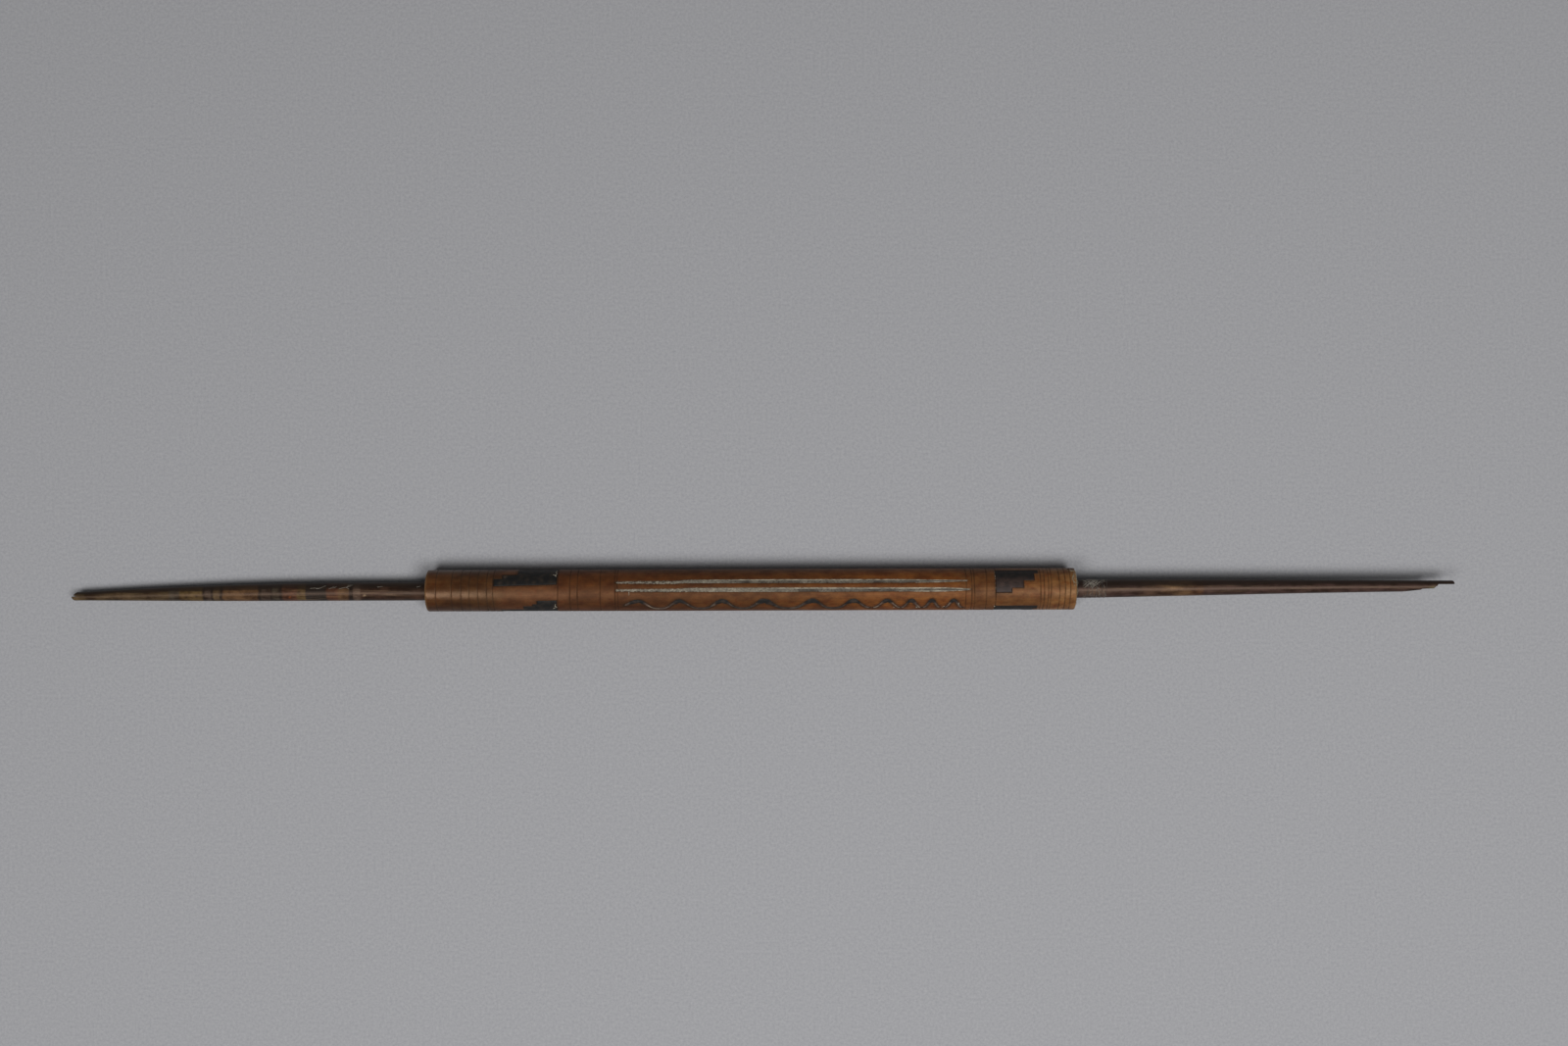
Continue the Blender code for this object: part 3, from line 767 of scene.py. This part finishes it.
lime = limeMaterial()
limeLine("upper", "upper_lime_line", 1)
limeLine("lower", "lower_lime_line", 2)
pitch = pitchMaterial()
mainWave, waveArcs = wavePaths(0.15)
pitchStrip("pitchWave", "pitch_wave", mainWave, 11)
for number, path in enumerate(waveArcs, 1):
    pitchStrip(f"pitchArc{number}", f"pitch_arc_{number}", path, 20 + number)
for side, seed in (("left", 30), ("right", 40)):
    for number, boxes in enumerate(blockBoxes(side), 1):
        stepBlock(side, number, boxes, seed + number)

# Chips and specks left by wear
chips = {
    "strokes": [  # (along, angle) points of pale slivers, and their half width
        ([(33.1, 66), (32.8, 59), (33.15, 53)], 0.12), ([(33.2, 50), (32.7, 45), (33.1, 40)], 0.15),
        ([(32.2, 47), (32.75, 45)], 0.09), ([(32.9, -43), (32.7, -51), (33.2, -56)], 0.12),
        ([(33.2, -56), (32.2, -60), (32.3, -65)], 0.1), ([(51.55, -2), (51.6, -12)], 0.13),
        ([(124.1, -54), (124.3, -60)], 0.2), ([(118.3, -55), (118.6, -58)], 0.13),
        ([(134.8, -38), (134.75, -51)], 0.12), ([(143.75, -50), (144.0, -56)], 0.15),
        ([(130.6, -57), (131.3, -52)], 0.1),
    ],
    "ringChips": (143.98, (6.0, 66.0), 6),  # along, angles, how many pale crumbs stand along this ring
    "crumbReach": (0.8, 3.0),  # half length of a crumb in degrees
    "longReach": 4.2,  # the same for every third crumb
    "crumbHalf": (0.03, 0.07),
    "rise": 0.04,
    "root": 0.05,  # how deep their edges go into the skin
}


def sliver(verts, faces, points, half, seed):
    flat = rolledOut(points)
    base, steps = len(verts), 5
    pairs = zip(flat, flat[1:])
    stops = [one.lerp(two, n / steps) for one, two in pairs for n in range(steps)] + [flat[-1]]
    for i, here in enumerate(stops):
        heading = headingAt(stops, i)
        across = Vector((-heading.y, heading.x))
        swell = 0.35 + 0.65 * sin(pi * (i + 0.5) / len(stops))
        width = half * swell * (1 + 0.8 * wander(i * 0.7, seed))
        for share in (-1, -0.5, 0.5, 1):
            depth = chips["root"] if abs(share) == 1 else -chips["rise"]
            verts.append(onSkin(here + across * share * width, depth))
    faces += cappedFaces(len(stops), 4, base)


def chipPiece():
    random.seed(3)
    verts, faces = [], []
    for number, (points, half) in enumerate(chips["strokes"]):
        sliver(verts, faces, points, half, number)
    along, (low, high), count = chips["ringChips"]
    for number in range(count):
        angle = low + (high - low) * (number + uniform(-0.3, 0.3)) / (count - 1)
        reach = uniform(*chips["crumbReach"]) if number % 3 else chips["longReach"]
        shift = uniform(-0.07, 0.07)
        points = [(along + shift, angle - reach), (along - shift, angle + reach)]
        sliver(verts, faces, points, uniform(*chips["crumbHalf"]), number + 30)
    layers = {"gap": [0.2] * len(verts), "bright": [0.2] * len(verts)}
    piece("paleChips", verts, faces, lime, "tube", (), layers, closed=True)


chipPiece()
print("stage: inlays")


# The palm-wood rod
rod = {
    "mouth": (80.0, 0.0, 5.18),  # where its axis crosses the right mouth
    "length": 353.2,
    "radius": 2.36,
    "leftTip": 1.05,
    "leftTaper": (3.0, 1.28),
    "leftBow": -1.1,
    "leftBowPower": 2.3,
    "leftShift": -0.2,  # at the left mouth the rod lies this far to the near side of the tube's axis
    "rightTip": 1.36,
    "rightTaper": (1.3, 1.38),
    "rightBow": 0.5,
    "sides": 44,
    "step": 0.32,
    "insideStep": 1.2,
    # places along the rod, then the angle where painted shade on its far side starts there
    "shadedSide": ((-176, -172, -160, -100, 80, 176), (26, 20, 19, 22, 10, 18)),
    "bands": [  # where each tone starts, from the forked tip to the splintered one
        (-176.6, "olive"), (-164.6, "tan"), (-161.0, "olive"), (-151.0, "grey"), (-148.3, "yellow"),
        (-142.4, "char"), (-141.8, "greyBrown"), (-140.3, "char"), (-139.6, "tan"), (-137.9, "char"),
        (-137.2, "orange"), (-128.0, "char"), (-127.2, "greyBrown"), (-124.9, "char"), (-124.5, "grey"),
        (-122.8, "char"), (-121.9, "red"), (-118.0, "yellow"), (-115.9, "black"), (-110.4, "red"),
        (-107.5, "orange"), (-104.8, "char"), (-103.7, "pink"), (-101.9, "brown"), (78.0, "plum"),
        (97.0, "warmPlum"), (102.5, "gold"), (109.6, "rust"), (112.8, "plum"),
    ],
    "soft": {"warmPlum": 2.0, "gold": 1.6, "rust": 0.8},  # how gently a tone begins and ends, in mm
    "marks": [  # along, angle, half length, half width, tone
        (85.0, -22.0, 3.2, 1.0, "#5a493d"), (-119.9, -34.0, 0.3, 0.3, "#c97a45"),
        (-100.7, -22.0, 0.35, 0.22, "#b9a183"), (-94.3, -20.0, 1.7, 0.2, "#86705c"),
        (-143.9, -20.0, 0.25, 0.3, "#15100c"), (-146.4, -28.0, 0.2, 0.25, "#15100c"),
        # the pale strip along the crown at 105.6 is a worn patch with a painted highlight on it
        (105.6, 0.0, 2.8, 0.4, "#8a6d4c"), (170.9, -18.0, 1.2, 0.5, "#565033"),
        (-174.6, -52.0, 1.6, 0.5, "#6d5a3d"),
    ],
    "tones": {
        "olive": "#463825", "tan": "#51412d", "grey": "#40392f", "yellow": "#59472a", "char": "#1c1410",
        "greyBrown": "#443830", "orange": "#5a412a", "red": "#563626", "black": "#1d1a19", "pink": "#55453a",
        "brown": "#36231a", "plum": "#3c2b27", "warmPlum": "#473428", "gold": "#5b442e", "rust": "#503624",
    },
    "scraped": (0.03, 0.012),  # depth of the broad and of the fine scraping marks
    "charDepth": 0.03,
    "charBelow": 0.035,  # a tone whose parts add up to less than this is char
    "clearance": 0.3,  # between rod and bore where they come closest
    "cutHeight": 4.7,  # half height of the three cuts at its tips
    # outlines of the cuts: along and sideways from the middle of the tip
    "fork": [(1.7, 0.02), (1.6, 0.14), (-2.0, 0.32), (-2.0, -0.06)],
    "shortProng": [(1.0, 0.0), (0.97, 0.5), (1.2, 0.85), (2.0, 1.5), (-2.0, 4.0), (-2.0, 0.0)],
    "splinter": [
        (3.0, 1.06), (-0.02, 0.91), (-0.14, 0.62), (-0.45, 0.46), (-4.4, 0.46), (-4.6, 0.1), (-5.0, -0.12),
        (-5.5, -0.6), (-8.4, -0.7), (-8.8, -0.95), (-14.5, -1.6), (-14.5, -4.7), (3.0, -4.7),
    ],
}
drop = tube["bore"] - rod["radius"] - rod["clearance"]
rodTilt = math.atan(drop / tube["length"])
leftArm = (rod["length"] / 2 + tube["left"]) / cos(rodTilt)
rightArm = (rod["length"] / 2 - tube["left"] - tube["length"]) / cos(rodTilt)
runInTube = tube["length"] / cos(rodTilt)


def onRod(along, sideways, height):
    x, y, z = rod["mouth"]
    return (x + along * cos(rodTilt) - height * sin(rodTilt), y + sideways,
            z + along * sin(rodTilt) + height * cos(rodTilt))


def roundRod(along, turn, radius, bow=0.0):
    return onRod(along, bow + radius * sin(turn), radius * cos(turn))


def rodAt(along):
    if along < -runInTube:
        share = (-runInTube - along) / leftArm
        late, full = rod["leftTaper"]
        tip, bow = rod["leftTip"], rod["leftShift"] + rod["leftBow"] * share ** rod["leftBowPower"]
    elif along > 0:
        share = along / rightArm
        late, full = rod["rightTaper"]
        tip, bow = rod["rightTip"], rod["rightBow"] * sin(share * pi / 2)
    else:
        return rod["radius"], rod["leftShift"] * -along / runInTube
    share = min(share, 1.0)
    return tip + (rod["radius"] - tip) * (1 - share ** late) ** full, bow


def rodStations():
    left, right, inside = -runInTube - leftArm, rightArm, -runInTube + 2
    found = []
    for turn in (pi / 2 * lift for lift in (0.88, 0.7, 0.5, 0.3, 0.12)):  # a dome at the forked tip
        found.append((left + 0.05 + rod["leftTip"] * (1 - sin(turn)), cos(turn)))
    found += [(a, 1.0) for a in np.arange(left + rod["leftTip"], inside, rod["step"])]
    found += [(a, 1.0) for a in np.arange(inside + 0.2, -1, rod["insideStep"])]
    found += [(a, 1.0) for a in np.arange(-0.9, right - 0.5, rod["step"])]
    for turn in (pi / 2 * lift for lift in (0.12, 0.3, 0.5, 0.7)):  # the spike's end is blunt
        found.append((right - 0.04 - 0.46 * (1 - sin(turn)), cos(turn) * 0.35 + 0.65))
    return found


def bandCurve():
    starts = [s for s, _ in rod["bands"]] + [177.0]
    names = [tone for _, tone in rod["bands"]]
    soft = [rod["soft"].get(tone, 0.15) for tone in names + names[-1:]]
    places, colours = [], []
    for k, tone in enumerate(names):
        room = (starts[k + 1] - starts[k]) / 3
        places += [starts[k] + min(soft[k], room), starts[k + 1] - min(soft[k + 1], room)]
        colours += [toLinear(rod["tones"][tone])[:3]] * 2
    return np.array(places), np.array(colours)


def rodMesh():
    places, colours = bandCurve()
    markTones = [toLinear(m[4])[:3] for m in rod["marks"]]
    verts, tones, char, shade = [], [], [], []
    sides = rod["sides"]
    stations = rodStations()
    for along, share in stations:
        radius, bow = rodAt(along)
        for k in range(sides):
            turn = tau * k / sides
            scraped, fine = roundLumps(along / 25, turn, 1.6, 5), roundLumps(along / 3, turn, 3, 9)
            x = rod["mouth"][0] + along + 0.35 * lumps(sin(turn) * 1.2, cos(turn) * 1.2, along / 6)
            tone = [float(np.interp(x, places, colours[:, c])) for c in range(3)]
            for mark, (at, turned, halfLong, halfWide, _) in enumerate(rod["marks"]):
                beside = math.remainder(turn - radians(turned), tau) * radius
                weight = math.exp(-(((x - at) / halfLong) ** 2 + (beside / halfWide) ** 2) * 1.2)
                tone = [t + (m - t) * weight for t, m in zip(tone, markTones[mark])]
            dark = max(0.0, 1 - sum(tone) / rod["charBelow"])
            r = radius * share - rod["scraped"][0] * abs(scraped) - rod["scraped"][1] * abs(fine)
            r -= rod["charDepth"] * dark * share
            verts.append(roundRod(along, turn, r, bow))
            tones.append(tone)
            char.append(dark)
            # shade marks the painted shade on the far side and the underside
            shadeFrom = readOff(x, rod["shadedSide"]) + 14 * lumps(x / 7, 3, 1)
            angle = wrapped(math.degrees(turn))
            shade.append(eased(shadeFrom - 5, shadeFrom + 9, angle) if angle > -90 else eased(-120, -150, angle))
    faces = cappedFaces(len(stations), sides)
    return verts, faces, {"tone": tones, "char": char, "shade": shade}


def prismCutter(name, outline, middle, material):
    corners = [(middle[0] + a, middle[1] + s) for a, s in outline]
    shape = bmesh.new()
    low, high = ([shape.verts.new([c * mm for c in onRod(a, s, height)]) for a, s in corners]
                 for height in (-rod["cutHeight"], rod["cutHeight"]))
    shape.faces.new(low)
    shape.faces.new(high)
    for k in range(len(corners)):
        n = (k + 1) % len(corners)
        shape.faces.new((low[k], low[n], high[n], high[k]))
    bmesh.ops.recalc_face_normals(shape, faces=shape.faces)
    mesh = bpy.data.meshes.new(name)
    shape.to_mesh(mesh)
    shape.free()
    mesh.materials.append(material)
    return placed(name, mesh)


def palmMaterial():
    # dark palm wood, hand-rubbed: long hair-fine grain, satin sheen, black scorched rings and painted shade
    # on its far side and underside
    gleam = {"Specular_IOR_Level": 0.3, "Specular_Tint": toLinear("#ffdcc4")}
    material, tree, shader = newMaterial("darkPalmWood", IOR=1.5, **gleam)
    grain = spotted(tree, 0.14, (45, 1, 1), detail=5.0, rough=0.65)
    streak = spotted(tree, 0.5, (22, 1, 1), detail=3.0, offset=(7, 1, 3))
    blotch = spotted(tree, 2.2, (1.6, 1, 1), detail=4.0, rough=0.65, offset=(2, 8, 4))
    own, shade = layer(tree, "tone", "Vector"), layer(tree, "shade")
    base = mixed(tree, ranged(tree, blotch, 0.38, 0.62), tinted(tree, own, "#8f7f74"), own)
    base = mixed(tree, ranged(tree, grain, 0.45, 0.62, (0.0, 0.5)), base, tinted(tree, base, "#7a6a5f"))
    base = painted(tree, times(tree, ranged(tree, streak, 0.58, 0.7), 0.35), base, "#725d45")
    base = painted(tree, times(tree, layer(tree, "char"), 0.5), base, "#100d0c")
    # painted shade: the far side and the underside are darkened
    base = mixed(tree, shade, base, painted(tree, 0.8, base, "#120c0a"))
    rough = combined(tree, "ADD", ranged(tree, blotch, 0.3, 0.7, (0.36, 0.48)), times(tree, shade, 0.12))
    coloured(tree, shader, base, rough)
    bumped(tree, shader, combined(tree, "ADD", grain, streak), 0.02, 0.5)
    return material


def rawWoodMaterial():
    # fresh broken wood, dry and yellowish, with coarse fibres
    material, tree, shader = newMaterial("rawBrokenWood", IOR=1.45, Roughness=0.8)
    grain = spotted(tree, 0.18, (14, 1, 1), detail=4.0)
    coloured(tree, shader, painted(tree, ranged(tree, grain, 0.35, 0.65), toLinear("#44301c"), "#7d6642"))
    bumped(tree, shader, grain, 0.08, 0.8)
    return material


def cutPiece(made, cutters):
    for cutter in cutters:
        cut = made.modifiers.new(cutter.name, "BOOLEAN")
        cut.operation = "DIFFERENCE"
        cut.solver = "MANIFOLD"  # the exact solver loses the rod at the splintered end
        cut.material_mode = "TRANSFER"
        cut.object = cutter
    bpy.context.view_layer.update()
    result = made.evaluated_get(bpy.context.evaluated_depsgraph_get())
    finished = bpy.data.meshes.new_from_object(result)
    made.modifiers.clear()
    made.data = finished
    for cutter in cutters:
        bpy.data.objects.remove(cutter, do_unlink=True)
    finished.set_sharp_from_angle(angle=radians(40))


palm = palmMaterial()
rawWood = rawWoodMaterial()
rodVerts, rodQuads, rodLayers = rodMesh()
rodMade = piece("palmRod", rodVerts, rodQuads, palm, "rod", ["palm_rod"], rodLayers, closed=True)
leftEnd = (-runInTube - leftArm, rod["leftShift"] + rod["leftBow"])
rightEnd = (rightArm, rod["rightBow"])
cutPiece(rodMade, [prismCutter("forkSlit", rod["fork"], leftEnd, palm),
                   prismCutter("shortProngCut", rod["shortProng"], leftEnd, palm),
                   prismCutter("splinterBreak", rod["splinter"], rightEnd, rawWood)])
print("stage: rod")


# Fibres, yarn and splinters
strands = {
    "wadSides": 60,
    "wadStrands": 90,
    "woundStrands": 70,  # fibres wound round the wad, seen when the rod is drawn out
    "rimStrands": 9,  # wad fibres that curl over the far side of the right rim
    "wadFill": (2.55, 4.1),
    "wadRadius": (2.75, 3.95),  # how far from the rod's axis the strands in the mouth run
    "wadLimits": (2.6, 4.15, 0.58),  # nearest to the axis, farthest from it, farthest out of the mouth
    "wadSweep": (30, 130),
    "wadThick": (0.03, 0.065),
    "woundSweep": (110, 280),
    "woundThick": (0.04, 0.075),
    "woundLimits": (-6.85, -0.3),
    "rimAngles": (14, 54),  # where the rim's strands begin, and how far they spread
    "rimFold": (0.5, 1.35),
    "rimThick": 0.07,
    "yarn": 0.07,  # radius of the spun yarn
    "crossing": 44,
    "crossingThick": (0.018, 0.034),
    "fuzz": 66,
    "fuzzThick": (0.015, 0.026),
    "hairThick": 0.04,
    "yarnStart": 1.9,
    "yarnLength": 6.8,
    "yarnTurns": 5.5,
    "hairs": [  # stray hairs caught on the rod: (along, angle) points
        [(-114.6, 24), (-113.4, 27), (-112.2, 22)], [(-113.1, 21), (-112.0, 26), (-111.2, 36), (-110.7, 44)],
        [(-109.8, 22), (-109.0, 27), (-108.5, 40)], [(-108.6, 25), (-107.9, 36)],
        [(-107.2, 22), (-106.2, 26), (-105.2, 31), (-104.2, 41)], [(-105.4, 30), (-104.9, 22), (-104.6, 17)],
        [(-105.2, 31), (-105.0, 42), (-103.9, 47)], [(-97.5, 30), (-96.1, 33)], [(-87.4, 28), (-86.4, 36)],
    ],
}


def sweep(verts, faces, points, radius, sides=6):
    points = [Vector(p) for p in points]
    base = len(verts)
    up = Vector((0.31, 0.17, 0.94))
    for i, here in enumerate(points):
        heading = headingAt(points, i)
        right = heading.cross(up)
        right = right.normalized() if right.length > 1e-6 else heading.orthogonal().normalized()
        up = right.cross(heading).normalized()
        r = radius(i / (len(points) - 1))
        for k in range(sides):
            turn = tau * k / sides
            verts.append(tuple(here + right * (cos(turn) * r) + up * (sin(turn) * r)))
    faces += cappedFaces(len(points), sides, base)


def shares(steps):
    return [k / steps for k in range(steps + 1)]


def tapered(thick, loss, power):
    return lambda share: thick * (1 - loss * abs(2 * share - 1) ** power)


def fibreMaterial(name, paleTone, darkTone, paleLayer=None):
    # dry plant fibre: matt hairs with a soft sheen, pale ones with darker ones among them
    material, tree, shader = newMaterial(name, IOR=1.45, Roughness=0.75, Sheen_Weight=0.3)
    hue = spotted(tree, 0.22, (1, 5, 5), detail=4.0, rough=0.7)
    share = ranged(tree, hue, 0.35, 0.65)
    if paleLayer:
        share = times(tree, ranged(tree, hue, 0.3, 0.6, (0.6, 1.0)), layer(tree, paleLayer))
    coloured(tree, shader, painted(tree, share, toLinear(darkTone), paleTone))
    bumped(tree, shader, spotted(tree, 0.06, detail=2.0), 0.02, 0.5)
    return material


def wadCore(verts):
    inner, outer = strands["wadFill"]
    # along the rod, radius, and 1 where the face in the mouth is lumpy
    profile = [(-7.2, 3.2, 0), (-6.9, inner, 0), (-3, inner, 0), (-0.2, inner, 0), (0.12, inner + 0.35, 1),
               (0.2, 3.2, 1), (0.1, outer - 0.3, 1)]
    profile += [(-0.25 - 0.35 * k, outer - 0.02, 0) for k in range(20)]
    sides = strands["wadSides"]
    for along, radius, lumpy in profile:
        for turn in (tau * k / sides for k in range(sides)):
            bulge = 0.35 * roundLumps(along, turn, 4) if lumpy else 0
            ripple = 0.2 * abs(roundLumps(along * 2.3, turn, 1)) if radius > 3.9 else 0
            verts.append(roundRod(along + bulge, turn, radius - ripple))
    last = (len(profile) - 1) * sides
    closing = [(last + k, k, (k + 1) % sides, last + (k + 1) % sides) for k in range(sides)]
    return gridFaces(len(profile), sides) + closing


def rimStrand(number, angle, fold, curl):
    x, y, z = rod["mouth"]
    points = []
    for share in shares(11):
        out = 0.3 - (0.3 + fold) * sin(share * pi / 2)  # from the mouth back over the rim
        turn = radians(angle + curl * share * 2 + 5 * sin(share * 7 + number))
        lift = min(1.0, share * 2.2) * (tube["radius"] - 3.6 + 0.07)
        r = 3.6 + lift + 0.08 * sin(share * 9 + number) * share
        along = max(out, 0.09) if share < 0.42 else out
        points.append((x + along, y + r * sin(turn), z + r * cos(turn)))
    return points


def wadPiece():
    random.seed(5)
    verts = []
    faces = wadCore(verts)
    nearest, farthest, farOut = strands["wadLimits"]
    for number in range(strands["wadStrands"]):
        start = uniform(0, 360) if number % 3 else uniform(10, 110)
        sweepAngle = uniform(*strands["wadSweep"])
        radius, drift = uniform(*strands["wadRadius"]), uniform(-0.35, 0.35)
        along, lean = uniform(-0.1, 0.45), uniform(-0.5, 0.3)
        points = []
        for share in shares(12):
            turn = radians(start + sweepAngle * share)
            r = min(farthest, max(nearest, radius + drift * sin(share * pi)))
            place = min(farOut, along + lean * (share - 0.5) + 0.1 * sin(share * 9))
            points.append(roundRod(place, turn, r))
        sweep(verts, faces, points, tapered(uniform(*strands["wadThick"]), 0.6, 3), 5)
    for number in range(strands["rimStrands"]):
        angle = strands["rimAngles"][0] + strands["rimAngles"][1] * number / (strands["rimStrands"] - 1)
        points = rimStrand(number, angle, uniform(*strands["rimFold"]), uniform(-9, 9))
        sweep(verts, faces, points, lambda share: strands["rimThick"] * (1 - 0.5 * share ** 2), 5)
    for number in range(strands["woundStrands"]):
        begin, slant = uniform(-6.7, -0.5), uniform(-0.7, 0.7)
        start, sweepAngle = uniform(0, 360), uniform(*strands["woundSweep"])
        thick, points = uniform(*strands["woundThick"]), []
        for share in shares(24):
            turn = radians(start + sweepAngle * share)
            along = begin + slant * share + 0.12 * sin(share * 11 + number)
            along = min(strands["woundLimits"][1], max(strands["woundLimits"][0], along))
            points.append(roundRod(along, turn, strands["wadFill"][1] - 0.02 - 0.1 * (2 * share - 1) ** 6))
        sweep(verts, faces, points, tapered(thick, 0.6, 4), 5)
    piece("fibreWad", verts, faces, wadFibre, "packing", ["fibre_packing"], closed=True)


def onRodSkin(along, angle, above):
    radius, bow = rodAt(along)
    return roundRod(along, radians(angle), radius + above, bow)


def yarnPiece():
    random.seed(8)
    verts, faces, pale = [], [], []
    start, length = strands["yarnStart"], strands["yarnLength"]

    def strand(begin, finish, phase, degrees, radius, above, tone):
        steps = max(6, int(abs(degrees) / 12))
        points = []
        for share in shares(steps):
            along = begin + (finish - begin) * share + 0.12 * wander(share * 9, phase + begin)
            points.append(onRodSkin(along, phase + degrees * share, radius + above))
        before = len(verts)
        sweep(verts, faces, points, tapered(radius, 0.45, 6))
        pale.extend([tone] * (len(verts) - before))

    strand(start + 0.2, start + length, 30, 360 * strands["yarnTurns"], strands["yarn"] * 0.8, 0.0, 0.0)
    for number in range(strands["crossing"]):  # most of them cross at a slant on the upper side
        lean = random.choice((-1, 1))
        upper = number % 7
        phase = uniform(22, 64) - lean * uniform(14, 36) if upper else uniform(0, 360)
        begin = start + uniform(-0.1, length - 2.2) * uniform(0.4, 1.0)
        finish = begin + uniform(0.9, 2.2)
        turn = lean * (finish - begin) * uniform(19, 27)
        thick = uniform(*strands["crossingThick"])
        strand(begin, finish, phase, turn, thick, strands["yarn"] * 0.9, uniform(0.2, 0.9))
    for number in range(strands["fuzz"]):
        begin = uniform(start, start + length * 0.85)
        finish = begin + uniform(0.2, 0.8)
        phase = uniform(0, 360) if number % 3 == 0 else uniform(-60, 62)
        turn, thick = uniform(-35, 35), uniform(*strands["fuzzThick"])
        strand(begin, finish, phase, turn, thick, strands["yarn"] * 1.5, 0.6)
    piece("yarnWinding", verts, faces, spun, "rod", ["yarn_remnant"], {"pale": pale}, closed=True)


def hairPiece():
    verts, faces = [], []
    for number, hair in enumerate(strands["hairs"]):
        alongs, angles = zip(*hair)
        points = []
        for share in shares(8):
            place = share * (len(hair) - 1)
            along = float(np.interp(place, range(len(hair)), alongs)) - rod["mouth"][0]
            angle = float(np.interp(place, range(len(hair)), angles)) + 2 * wander(share * 4.8, number)
            above = 0.05 + 0.05 * sin(share * pi)
            points.append(onRodSkin(along / cos(rodTilt), angle, above))
        sweep(verts, faces, points, lambda share: strands["hairThick"] * (1 - 0.5 * share), 5)
    piece("strayHairs", verts, faces, spun, "rod", (), {"pale": [0.75] * len(verts)}, closed=True)


wadFibre = fibreMaterial("paleWadFibre", "#968d6f", "#4e412c")
spun = fibreMaterial("spunYarnFibre", "#a69e8f", "#2c231c", "pale")
wadPiece()
yarnPiece()
hairPiece()

# A lifted sliver of cane skin at the far side of the right mouth
lifted = {
    "along": (162.1, 164.45),
    "angle": (74.0, 79.0),
    "half": 2.4,  # half width in degrees
    "above": -0.01,
    "steps": 8,
    "tone": "#42352a",
}


def liftedSliver():
    verts = []
    for share in shares(lifted["steps"]):
        along, centre = (low + (high - low) * share for low, high in (lifted["along"], lifted["angle"]))
        half = lifted["half"] * min(1.0, 0.25 + share * 1.6)
        above = lifted["above"] + 0.05 * share
        for offset, rise in ((-half, -0.1), (-half * 0.5, above), (half * 0.5, above), (half, -0.1)):
            verts.append(onTube(along, centre + offset, tube["radius"] + rise))
    layers = {"wear": [0.1] * len(verts), "wornTone": [toLinear(lifted["tone"])[:3]] * len(verts)}
    faces = cappedFaces(lifted["steps"] + 1, 4)
    piece("caneSliver", verts, faces, pitch, "tube", (), layers, closed=True)


liftedSliver()
print("stage: fibres and yarn")
